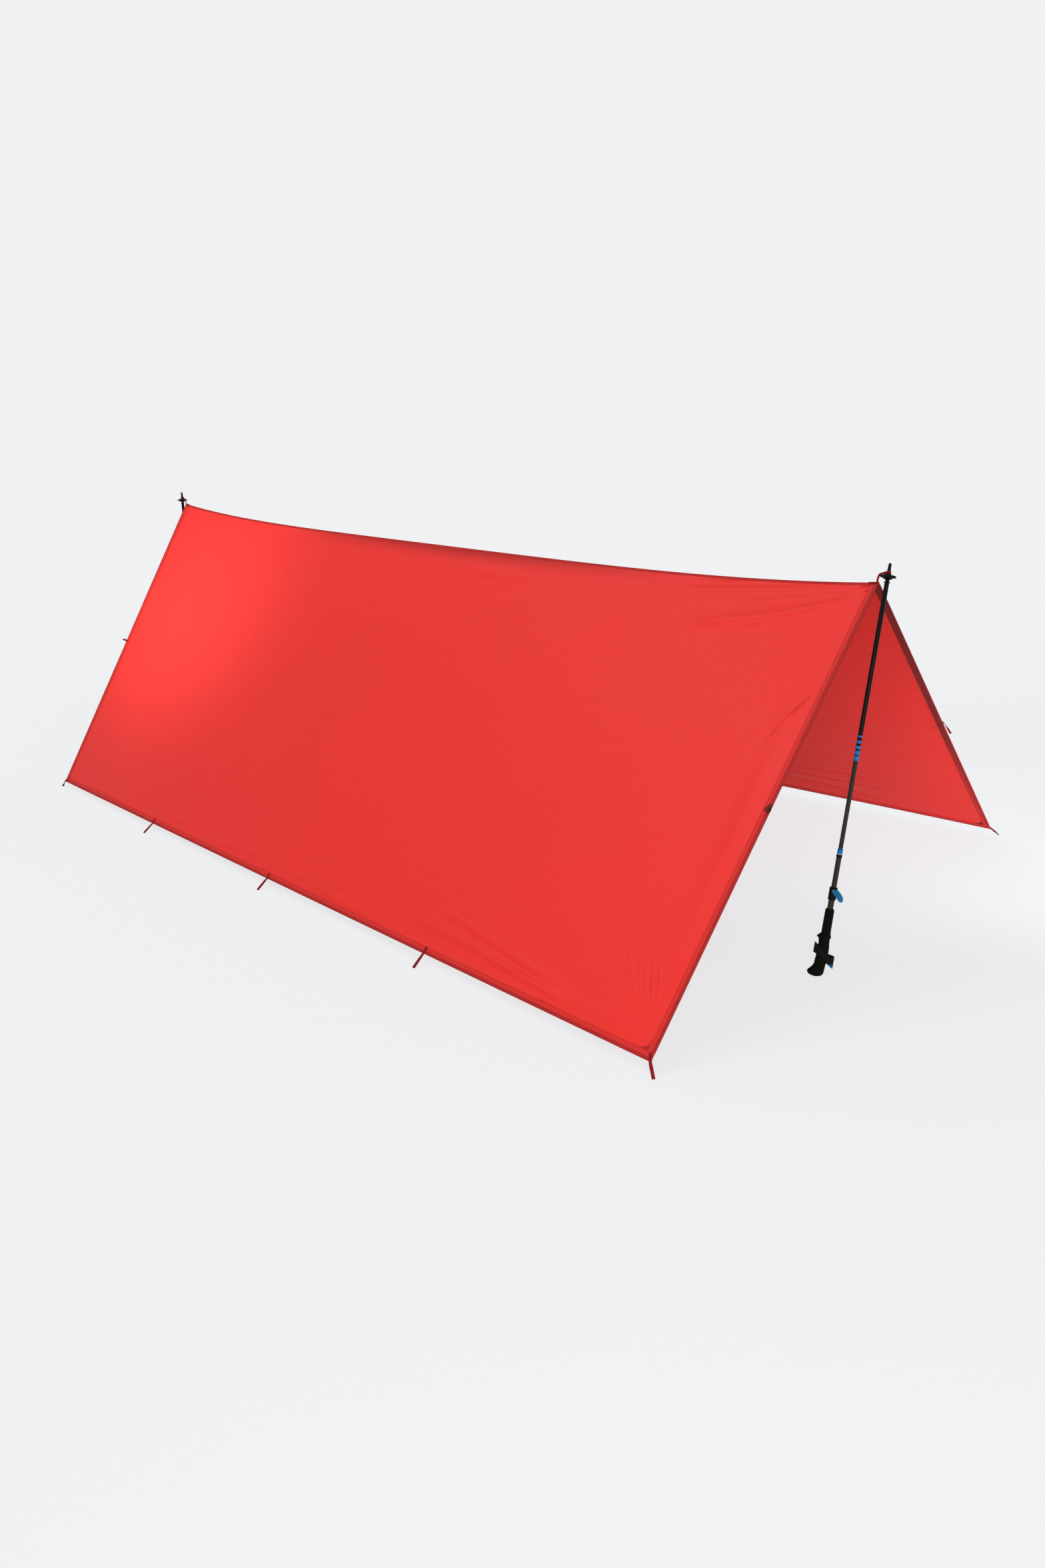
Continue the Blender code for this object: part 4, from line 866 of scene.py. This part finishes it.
def edge_loop(name, side, along, down, heading, length, tail, manner):
    """One folded loop, sewn on the outer face at an edge; past the edge it points at its peg, or droops, or lies."""
    level = CLOTH_THICK / 2 + CLEAR + TAPE_THICK + CLEAR + WEB_TOTAL / 2
    bore = LYING_BORE if manner == "lying" else SHUT_BORE
    path, centre = folded_path(length, tail, level, bore, manner == "lying")
    angle = math.radians(heading)
    ahead = np.array((math.cos(angle), math.sin(angle)))
    aside = np.array((-ahead[1], ahead[0]))

    def on_cloth(s, n, w):
        return side.place(along + ahead[0] * s + aside[0] * w, down + ahead[1] * s + aside[1] * w, n)

    def at(s, n, w):
        return on_cloth(*(np.array([value], float) for value in (s, n, w)))[0]

    root = at(LOOP_START, 0.0, 0.0)
    out_way = side.across(side.middle, np.array([along]), np.array([down]), ROOT_STEP)[0]
    way = root - at(-LOOP_START, 0.0, 0.0)
    way = unit(way - out_way * (way @ out_way))
    across = np.cross(way, out_way)
    if across @ (at(0.0, 0.0, LOOP_START) - at(0.0, 0.0, 0.0)) < 0:
        across = -across
    far_way = way
    if manner == "pegged":
        far_way = ground_way(root, way, out_way, centre - LOOP_START, level, bore)
    elif manner == "hanging":
        far_way = unit(way * math.cos(DROOP) - UP * math.sin(DROOP))
    far_across = across if manner == "lying" else level_across(far_way)
    if far_across @ across < 0:
        far_across = -far_across
    handed = 1.0 if np.cross(across, far_way) @ out_way > 0 else -1.0

    def to_place(s, n, w):
        if manner == "lying":
            w = w * BUNCHED_SPREAD + BUNCHED_DOWN
        share = np.clip((s - LOOP_START) / (centre - LOOP_START), 0.0, 1.0)
        side_way = mixed(across, far_across, share)
        side_way = unit(side_way - far_way * (side_way @ far_way)[..., None])
        free = (root + far_way * (s - LOOP_START)[..., None] + np.cross(side_way, far_way) * (n * handed)[..., None]
                + side_way * w[..., None])
        free[..., 2] = np.maximum(free[..., 2], 0.0)
        return np.where((s <= LOOP_START)[..., None], on_cloth(np.minimum(s, LOOP_START), n, w), free)

    look = bunched_shade_look if manner == "lying" else web_look
    made = ribbon(name, path, WEB_WIDTH, WEB_SINGLE, to_place, look, f"{side.name}_side")
    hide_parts(name.replace("_webbing", "_loop"))


# Loops of a side: place along and down, heading, length, tail, and what it does past the edge
QUARTER = CLOTH_LENGTH / 4
HALF_WAY = CLOTH_WIDTH / 2
LOOPS = {
    "back_corner": (0.0, CLOTH_WIDTH, 135, 0.035, LONG_TAIL, "pegged"),
    "back_hem": (QUARTER, CLOTH_WIDTH, 90, 0.045, LONG_TAIL, "pegged"),
    "middle_hem": (2 * QUARTER, CLOTH_WIDTH, 90, 0.045, LONG_TAIL, "pegged"),
    "front_hem": (3 * QUARTER, CLOTH_WIDTH, 90, 0.045, LONG_TAIL, "pegged"),
    "front_corner": (CLOTH_LENGTH, CLOTH_WIDTH, 62, 0.035, LONG_TAIL, "pegged"),
    "back_edge": (0.0, HALF_WAY, 180, 0.029, SHORT_TAIL, "straight"),
    "front_edge": (CLOTH_LENGTH, HALF_WAY, 0, 0.036, SHORT_TAIL, "hanging"),
}
NEAR_FRONT_EDGE_LOOP = (CLOTH_LENGTH, HALF_WAY - 0.006, 84, 0.017, 0.004, "lying")
for side, its_own in ((near, {"front_edge": NEAR_FRONT_EDGE_LOOP}), (far, {})):
    for where, how in {**LOOPS, **its_own}.items():
        edge_loop(f"{side.name}_{where}_webbing", side, *how)


# Trekking poles: each stands tip up, its grip on the ground. A rubber tip with a flange, a small basket, three
# tube sections, a blue stop ring and a collar sit one after the other on one axis.
FORWARD_TURN = math.radians(225)
BLACK = (0.0050, 0.0050, 0.0038)
OLIVE = (0.026, 0.026, 0.018)


class Pole:
    """The placing of one pole, from its tip, its foot and the way out from the tarp."""

    def __init__(self, name, tip, foot, outward, foot_down):
        self.name = name
        self.tip = np.array(tip) + SHIFT
        self.outward = outward
        self.up = unit(self.tip - (np.array((*foot, 0.0)) + SHIFT))
        self.across = unit(np.cross(self.up, (1.0, 0.0, 0.0)))
        self.ahead = unit(np.cross(self.across, self.up))
        self.low = self.tip - self.up * foot_down

    def place(self, start, x, y, z, turn=0.0):
        """A point from its measures ahead, across and up the pole, turned about it."""
        cos, sin = math.cos(turn), math.sin(turn)
        return (start + self.ahead * (x * cos - y * sin)[..., None] + self.across * (x * sin + y * cos)[..., None]
                + self.up * z[..., None])

    def ring(self, start, radius, angle, z, turn=0.0):
        """Points round the pole, from their radius, angle and height."""
        return self.place(start, radius * np.cos(angle), radius * np.sin(angle), z, turn)


front_pole = Pole("front", (3.0500, 0.0, 0.9340), (3.0462, -0.2591), 1.0, 0.9694)
back_pole = Pole("back", (0.0050, 0.0, 1.0590), (-0.0450, -0.0300), -1.0, 1.0607)
poles = (back_pole, front_pole)


def turned(name, pole, start, outline, look, body, node, closed=False, rounds=56, lobes=None):
    """An outline of radius and height up the pole, carried once round the pole; lay is arc length and height.

    lobes gives a count, a depth, and the radii between which the rim starts to wave by a cosine of that count.
    """
    outline = np.array(outline)
    angle = np.linspace(0.0, math.tau, rounds + 1)
    radius, height = outline[:, 0, None], outline[:, 1, None]
    if lobes:
        count, depth, inner_rim, outer_rim = lobes
        reach = np.clip((radius - inner_rim) / (outer_rim - inner_rim), 0.0, 1.0)
        radius = radius * (1.0 - depth * reach * (0.5 - 0.5 * np.cos(count * (angle[:-1] - FORWARD_TURN))))
    points = pole.ring(start, radius, angle[:-1], height + 0 * angle[:-1])
    if closed:
        outline = np.concatenate((outline, outline[:1]))
    lay = measures(angle[None, :] * outline[:, 0].max(), outline[:, 1, None])
    made = piece(name, points, lay, look, closed_rows=closed)
    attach(made, body)
    if node:
        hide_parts(node)
    return made


def rounded(radius, low, high, edge):
    """Outline of a solid bar between two heights, with its two rims rounded."""
    turn = np.linspace(0.0, math.pi / 2, 4)
    top = [(radius - edge + edge * math.sin(t), high - edge + edge * math.cos(t)) for t in turn]
    return [(0.0, high), *top, *[(r, low + (high - z)) for r, z in top[::-1]], (0.0, low)]


def moulded(name, colour, roughness, grain=0.05, gloss=0.05):
    """Moulded or cast matter: an even fine grain, and handling that polishes it a little in places."""
    part = Finish(name, colour, roughness, gloss=gloss)
    spot = part.spot()
    fine = part.noise(spot, 900.0, 2.0)
    broad = part.noise(spot, 40.0, 2.0)
    lighter = tuple(min(1.0, value * 1.5 + 0.002) for value in colour)
    part.set(**{"Base Color": part.mix((broad - 0.42).math("MULTIPLY", 1.6, clamp=True), colour, lighter)})
    part.set(Roughness=(broad - 0.5) * 0.25 + (fine - 0.5) * 0.1 + roughness)
    part.raise_by(fine * grain)
    return part.material


def tube(name, colour, roughness, bands=()):
    """Drawn tube with a lacquered or anodised coat: fine lengthwise marks, and any painted bands round it."""
    part = Finish(name, colour, roughness, gloss=0.06)
    lay = part.lay()
    _, height, _ = part.parts(lay)
    drawn = part.noise(lay, 1.0, 2.0, (2600.0, 14.0, 1.0))
    rubbed = part.noise(part.spot(), 22.0, 2.0)
    lighter = tuple(value * 1.4 + 0.001 for value in colour)
    tone = part.mix((rubbed - 0.5) * 0.9 + 0.4, colour, lighter)
    for top, low, paint in bands:
        inside = height.below(-top, 0.0004) * (1.0 - height.below(-low, 0.0004))
        tone = part.mix(inside, tone, paint)
    part.set(**{"Base Color": tone, "Roughness": (drawn - 0.5) * 0.12 + (rubbed - 0.5) * 0.15 + roughness})
    part.raise_by(drawn * 0.02)
    return part.material


rubber_look = moulded("black_tip_rubber", BLACK, 0.55)
basket_look = moulded("black_moulded_plastic", BLACK, 0.45)
BAND_BLUE = (0.010, 0.190, 0.520)
BAND_DEEP = (0.004, 0.050, 0.170)
BAND_PALE = (0.75, 0.80, 0.84)
RING_BLUE = (0.006, 0.150, 0.400)
lower_look = tube("black_lacquered_tube", BLACK, 0.26, (
    (0.3940, 0.3980, BAND_BLUE), (0.4060, 0.4120, BAND_BLUE), (0.4180, 0.4250, BAND_BLUE),
    (0.4290, 0.4390, BAND_BLUE), (0.4420, 0.4530, BAND_BLUE),
))
middle_look = tube("olive_grey_tube_coat", OLIVE, 0.36, ((0.6575, 0.6620, BAND_DEEP),))
grey_look = tube("olive_grey_outer_tube", OLIVE, 0.36)
blue_look = tube("blue_anodised_coat", RING_BLUE, 0.34, ((0.6728, 0.6740, BAND_PALE),))

TIP_OUTLINE = [
    (0.0, 0.0004), (0.0012, 0.0002), (0.0021, -0.0004), (0.0028, -0.0012), (0.0033, -0.0024), (0.0036, -0.0100),
    (0.0041, -0.0200), (0.0045, -0.0290), (0.0045, -0.0410), (0.0050, -0.0420), (0.0078, -0.0424),
    (0.0083, -0.0428), (0.0083, -0.0433), (0.0078, -0.0437), (0.0055, -0.0440), (0.0051, -0.0446),
    (0.0051, -0.0500), (0.0053, -0.0504), (0.0053, -0.0512), (0.0051, -0.0516), (0.0051, -0.0576),
    (0.0049, -0.0580), (0.0, -0.0580),
]
BASKET_MID = -0.030
BASKET_RIM = 0.0192
BASKET_BORE = 0.0048
BASKET_LOBES = (8, 0.13, 0.0130, BASKET_RIM)
EYES = 4
EYE_RADIUS = 0.0024
EYE_OUT = 0.014
BASKET_OUTLINE = [(r, BASKET_MID + z) for r, z in (
    (BASKET_BORE, 0.0062), (0.0060, 0.0062), (0.0066, 0.0058), (0.0071, 0.0050), (0.0090, 0.0041),
    (0.0110, 0.0034), (0.0140, 0.0028), (0.0166, 0.0022), (0.0184, 0.0014), (BASKET_RIM, 0.0004),
    (BASKET_RIM, -0.0008), (0.0188, -0.0016), (0.0178, -0.0022), (0.0150, -0.0029), (0.0115, -0.0040),
    (0.0090, -0.0056), (0.0076, -0.0066), (0.0070, -0.0070), (BASKET_BORE, -0.0070),
)]

# Lengths of the pole: node, radius, how far below the tip each starts and ends, finish, slot, piece
SHAFTS = (
    ("lower_shaft", 0.0054, 0.058, 0.453, lower_look, "black_tube", "lower_tube"),
    ("middle_shaft", 0.0051, 0.453, 0.662, middle_look, "olive_grey_tube", "middle_tube"),
    ("stop_ring", 0.0062, 0.662, 0.674, blue_look, "blue_anodised", "blue_stop_ring"),
    ("joint_collar", 0.0068, 0.674, 0.681, basket_look, "black_plastic", "collar"),
    ("upper_shaft", 0.0060, 0.681, 0.908, grey_look, "olive_grey_tube", "upper_tube"),
)


def cut_eyes(obj, pole):
    """Four round eyes through the basket's rim, cut by bars that are removed again."""
    bar_outline = rounded(EYE_RADIUS, BASKET_MID - 0.012, BASKET_MID + 0.012, 0.0002)
    for k in range(EYES):
        middle = pole.ring(pole.tip, EYE_OUT, FORWARD_TURN + math.tau * k / EYES, np.array(0.0))
        bar = turned(f"{obj.name}_bar_{k}", pole, middle, bar_outline, basket_look, f"{pole.name}_pole", None,
                     rounds=24)
        step = obj.modifiers.new("eye", "BOOLEAN")
        step.operation = "DIFFERENCE"
        step.object = bar
        step.solver = "EXACT"
        whole = bpy.data.meshes.new_from_object(obj.evaluated_get(bpy.context.evaluated_depsgraph_get()))
        obj.modifiers.clear()
        obj.data = whole
        bpy.data.objects.remove(bar)
    obj.data.set_sharp_from_angle(angle=SHARP_ANGLE)


for pole in poles:
    body = f"{pole.name}_pole"
    turned(f"{pole.name}_rubber_tip", pole, pole.tip, TIP_OUTLINE, rubber_look, body,
           f"{pole.name}_pole_tip")
    basket = turned(f"{pole.name}_snow_basket", pole, pole.tip, BASKET_OUTLINE, basket_look, body,
                    f"{pole.name}_basket", closed=True, rounds=96, lobes=BASKET_LOBES)
    cut_eyes(basket, pole)
    for node, radius, start, end, look, slot, name in SHAFTS:
        turned(f"{pole.name}_{name}", pole, pole.tip, rounded(radius, -end, -start - CLEAR, 0.0005), look, body,
               f"{pole.name}_{node}")


# Ridge loops: a strip of webbing sewn over each end of the seam runs out as a narrow loop. It rises straight to
# the basket's rim, passes over it and parts round the pole's tip, and so hangs the ridge on the pole.
LOOP_NARROW = 0.005
RIDGE_TAIL = 0.024
ROOT_IN = 0.004
TIP_HALF = 0.0042
PARTING = 0.016
RIDGE_WEB_RED = (0.280, 0.011, 0.012)
RIDGE_WEB_DARK = (0.150, 0.007, 0.009)
ridge_web_look = webbing("red_ridge_webbing", RIDGE_WEB_RED, RIDGE_WEB_DARK, LOOP_NARROW)

# Way over the basket: distance from the pole's axis towards the seam, and down from the tip
OVER_BASKET = (
    (0.0224, 0.0300), (0.0214, 0.0272), (0.0190, 0.0254), (0.0150, 0.0244), (0.0110, 0.0234), (0.0076, 0.0219),
    (0.0046, 0.0211), (0.0, 0.0208),
)


def smooth_through(knots, at):
    """Values between knots on a cubic whose slope at each knot is that of its neighbours."""
    places, values = knots[:, 0], knots[:, 1:]
    slopes = np.gradient(values, places, axis=0)
    k = np.clip(np.searchsorted(places, at) - 1, 0, len(places) - 2)
    span = (places[k + 1] - places[k])[:, None]
    t = (at - places[k])[:, None] / span
    return (values[k] * (1 + 2 * t) * (1 - t) ** 2 + slopes[k] * span * t * (1 - t) ** 2
            + values[k + 1] * t * t * (3 - 2 * t) + slopes[k + 1] * span * t * t * (t - 1))


def ridge_loop(pole, end_along):
    """Two legs side by side from the seam straight up to the basket's rim and over it, parting round the tip."""
    inward = -1.0 if end_along > 0 else 1.0
    low = CLOTH_THICK / 2 + CLEAR
    high = low + WEB_TOTAL
    tail_run = np.linspace(end_along, end_along + inward * RIDGE_TAIL, 14)
    tail = ridge_strip(f"{pole.name}_ridge_tail", tail_run, LOOP_NARROW, low, high, ridge_web_look, 13)
    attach(tail, "canopy")
    root_along = np.array([end_along + inward * ROOT_IN])
    start = over_ridge(root_along, np.zeros(1), np.array([(low + high) / 2]))[0]
    aside_of, below = np.array(OVER_BASKET).T
    knots = np.concatenate((start[None], pole.place(pole.tip, -pole.outward * aside_of, 0.0 * below, -below)))
    chord = travelled_to(knots)
    track = smooth_through(np.column_stack((chord, knots)), np.linspace(0.0, chord[-1], 81))
    travelled = travelled_to(track)
    total = travelled[-1]
    ways = unit(np.gradient(track, axis=0))

    def to_place(s, n, w):
        at = np.clip(s, 0.0, total)
        point = np.stack([np.interp(at, travelled, track[:, k]) for k in range(3)], -1)
        way = unit(np.stack([np.interp(at, travelled, ways[:, k]) for k in range(3)], -1))
        point = point + way * (s - at)[..., None]
        aside = mixed(np.array((0.0, 1.0, 0.0)), pole.across, at / total)
        aside = unit(aside - way * (aside * way).sum(-1, keepdims=True))
        return point + aside * n[..., None] + np.cross(way, aside) * w[..., None]

    radius = TIP_HALF + CLEAR + WEB_TOTAL - WEB_SINGLE / 2
    reach = math.pi - math.acos(radius / PARTING)
    angle = np.linspace(reach, -reach, 25)
    eye = np.stack((total + radius * np.cos(angle), radius * np.sin(angle)), -1)
    share = np.linspace(0.0, 1.0, 14)[:-1, None]
    split = np.array((total - PARTING, WEB_SINGLE / 2))
    leg = np.linspace((0.0, WEB_SINGLE / 2), split, 10)[:-1]
    leg = np.concatenate((leg, split * (1 - share) + eye[0] * share))
    path = np.concatenate((leg, eye, (leg * np.array((1.0, -1.0)))[::-1]))
    loop = ribbon(f"{pole.name}_ridge_webbing", path, LOOP_NARROW, WEB_SINGLE, to_place, ridge_web_look, None)
    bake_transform(loop)
    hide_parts(f"{pole.name}_ridge_loop")


ridge_loop(back_pole, 0.0)
ridge_loop(front_pole, CLOTH_LENGTH)


# Handles: a foam grip with a forward-leaning pommel and a finger ridge, a foam sleeve above it and the outer
# tube that the upper section slides in. All of it is turned or moulded round the pole's axis.
TUBE_BORE = 0.0063
TUBE_RADIUS = TUBE_BORE + 0.00055
TUBE_FLOOR = 0.022
TUBE_END = 0.0006
CLAMP_HIGH = 0.216
CLAMP_LIP = 0.0017
GRIP_HIGH = 0.113
RING_DEPTH = 0.00035
RING_PITCH = 0.0036
SLEEVE_LOW = 0.1133
SLEEVE_HIGH = 0.1640
SLEEVE_RIBS = 9
FOAM_BLACK = (0.0038, 0.0038, 0.0025)

# Grip: height above the ground, half its depth, half its width, and how far it is set forwards
GRIP_SECTIONS = np.array((
    (0.0000, 0.0060, 0.0055, 0.0085), (0.0022, 0.0130, 0.0108, 0.0090), (0.0065, 0.0180, 0.0142, 0.0094),
    (0.0120, 0.0192, 0.0153, 0.0090), (0.0180, 0.0166, 0.0145, 0.0060), (0.0260, 0.0140, 0.0135, 0.0028),
    (0.0400, 0.0136, 0.0138, 0.0010), (0.0560, 0.0134, 0.0140, 0.0000), (0.0720, 0.0131, 0.0137, 0.0000),
    (0.0850, 0.0125, 0.0130, 0.0008), (0.0925, 0.0136, 0.0134, 0.0020), (0.0970, 0.0165, 0.0146, 0.0030),
    (0.1005, 0.0136, 0.0132, 0.0013), (0.1045, 0.0113, 0.0113, 0.0000), (0.1130, 0.0109, 0.0109, 0.0000),
))


def foam(name, colour):
    """Closed-cell foam: small pits close together, dull, with a little dust in lighter patches here and there."""
    part = Finish(name, colour, 0.9, gloss=0.05)
    spot = part.spot()
    pits = part.node("ShaderNodeTexVoronoi", values={"Vector": spot, "Scale": 850.0})
    soft = part.noise(spot, 120.0, 3.0)
    part.set(**{"Base Color": part.mix(soft, colour, tuple(value * 1.7 + 0.001 for value in colour))})
    part.set(Roughness=(soft - 0.5) * 0.2 + 0.86)
    part.raise_by(pits * 0.35 + soft * 0.3)
    return part.material


foam_look = foam("black_grip_foam", FOAM_BLACK)


def grip(pole):
    """Oval sections set off forwards, smoothed through a table from the pommel up, with shallow finger rings.

    Its bore for the handle tube is open above and ends in a flat floor.
    """
    heights = np.concatenate((np.linspace(0.0, 0.020, 26), np.linspace(0.0215, GRIP_HIGH, 80)))
    deep, wide, forward = smooth_through(GRIP_SECTIONS, heights).T
    rings = RING_DEPTH * np.sin(heights / RING_PITCH * math.tau) * ((heights > 0.030) & (heights < 0.084))
    angle = np.linspace(0.0, math.tau, 65)
    ahead, aside = np.cos(angle[:-1]), np.sin(angle[:-1])
    bore = np.array((TUBE_RADIUS + CLEAR, TUBE_RADIUS + CLEAR, 0.0))[:, None]
    x = forward[:, None] + (deep + rings)[:, None] * ahead
    x = np.concatenate((forward[:1, None] + 0 * ahead, x, bore * ahead))
    y = np.concatenate((0 * aside[None, :], (wide + rings)[:, None] * aside, bore * aside))
    bore_heights = (GRIP_HIGH, TUBE_FLOOR - CLEAR, TUBE_FLOOR - CLEAR)
    z = np.concatenate(([0.0], heights, bore_heights))[:, None] + 0 * x
    lay = measures(angle[None, :] * 0.014, np.append(z, z[:, :1], 1))
    made = piece(f"{pole.name}_foam_grip", pole.place(pole.low, x, y, z, FORWARD_TURN), lay, foam_look)
    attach(made, f"{pole.name}_handle")
    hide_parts(f"{pole.name}_grip")


for pole in poles:
    body = f"{pole.name}_handle"
    grip(pole)
    tube_high = CLAMP_HIGH - CLAMP_LIP - CLEAR
    turned(f"{pole.name}_outer_tube", pole, pole.low, [
        (0.0, TUBE_FLOOR), (TUBE_RADIUS, TUBE_FLOOR), (TUBE_RADIUS, tube_high - 0.0002),
        (TUBE_RADIUS - 0.0002, tube_high), (TUBE_BORE, tube_high), (TUBE_BORE, TUBE_FLOOR + TUBE_END),
        (0.0, TUBE_FLOOR + TUBE_END),
    ], grey_look, body, f"{pole.name}_handle_shaft")
    bore = TUBE_RADIUS + CLEAR
    sleeve = [(bore, SLEEVE_LOW), (0.0103, SLEEVE_LOW), (0.0107, 0.1138)]
    sleeve += [(0.0106 - 0.0003 * k / 8 + 0.00016 * (k % 2), 0.1150 + 0.0055 * k) for k in range(SLEEVE_RIBS)]
    sleeve += [(0.0101, 0.1615), (0.0096, 0.1630), (0.0088, SLEEVE_HIGH), (bore, SLEEVE_HIGH)]
    turned(f"{pole.name}_sleeve_foam", pole, pole.low, sleeve, foam_look, body, f"{pole.name}_foam_sleeve",
           closed=True)


# Wrist straps: 14 mm black webbing, wound once round the grip, high in front and bowed out behind, where its
# lower selvedge is blue. It lies double in front and behind.
STRAP_WIDTH = 0.014
STRAP_THICK = 0.0016
STRAP_BLACK = (0.010, 0.010, 0.009)
STRAP_DARK = (0.0035, 0.0035, 0.003)
STRAP_BLUE = (0.010, 0.170, 0.430)
STRAP_RADIUS = 0.0140
STRAP_LEVEL = 0.053
STRAP_SLANT = 0.016
OUT_IN_FRONT = 0.0058
OUT_BEHIND = 0.0135
strap_look = webbing(
    "black_strap_webbing", STRAP_BLACK, STRAP_DARK, STRAP_WIDTH,
    edge=STRAP_BLUE, edge_width=0.0030, stretch=(0.061, 0.019),
)


def wrist_strap(pole):
    """A closed band round the grip that swells and spreads by the cosine squared in front and behind."""
    angle = np.linspace(0.0, math.tau, 97)
    front = np.maximum(0.0, np.cos(angle)) ** 2
    behind = np.maximum(0.0, -np.cos(angle)) ** 2
    radius = STRAP_RADIUS + CLEAR + OUT_IN_FRONT * front + OUT_BEHIND * behind
    height = STRAP_LEVEL + STRAP_SLANT * np.cos(angle)
    spread = 1.0 + 0.8 * front + 1.1 * behind
    half = STRAP_WIDTH / 2
    edge = STRAP_THICK / 2
    steps = np.linspace(-half + edge * 0.5, half - edge * 0.5, 9)
    rise = np.concatenate(([-half], steps, [half], [half], steps[::-1], [-half]))
    inside = np.concatenate(([edge * 0.6], np.zeros(9), [edge * 0.6]))
    out = np.concatenate((inside, STRAP_THICK - inside[::-1]))
    levels = height[:-1, None] + rise[None, :] * spread[:-1, None]
    points = pole.ring(pole.low, radius[:-1, None] + out[None, :], angle[:-1, None], levels, FORWARD_TURN)
    travelled = np.concatenate(([0.0], np.cumsum(np.hypot(np.diff(radius), radius[:-1] * np.diff(angle)))))
    lay = measures(travelled[:, None], np.append(rise, rise[0])[None, :])
    made = piece(f"{pole.name}_strap_band", points, lay, strap_look, closed_rows=True)
    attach(made, f"{pole.name}_handle")
    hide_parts(f"{pole.name}_wrist_strap")


for pole in poles:
    wrist_strap(pole)


# Locks: a black moulded collar closes on the outer tube's end, and a blue cam lever turns on a pin between the
# collar's two ears. Both keep their solid shape and get a finish: the basket's plastic and a blue enamel.
LEVER_BLUE = (0.004, 0.130, 0.280)
lever_look = moulded("blue_lever_enamel", LEVER_BLUE, 0.38, 0.02, gloss=0.2)
for pole in poles:
    for node, look in (("lock_clamp", basket_look), ("lock_lever", lever_look)):
        shown_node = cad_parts[f"{pole.name}_{node}"]
        for place in shown_node.material_slots:
            place.material = look
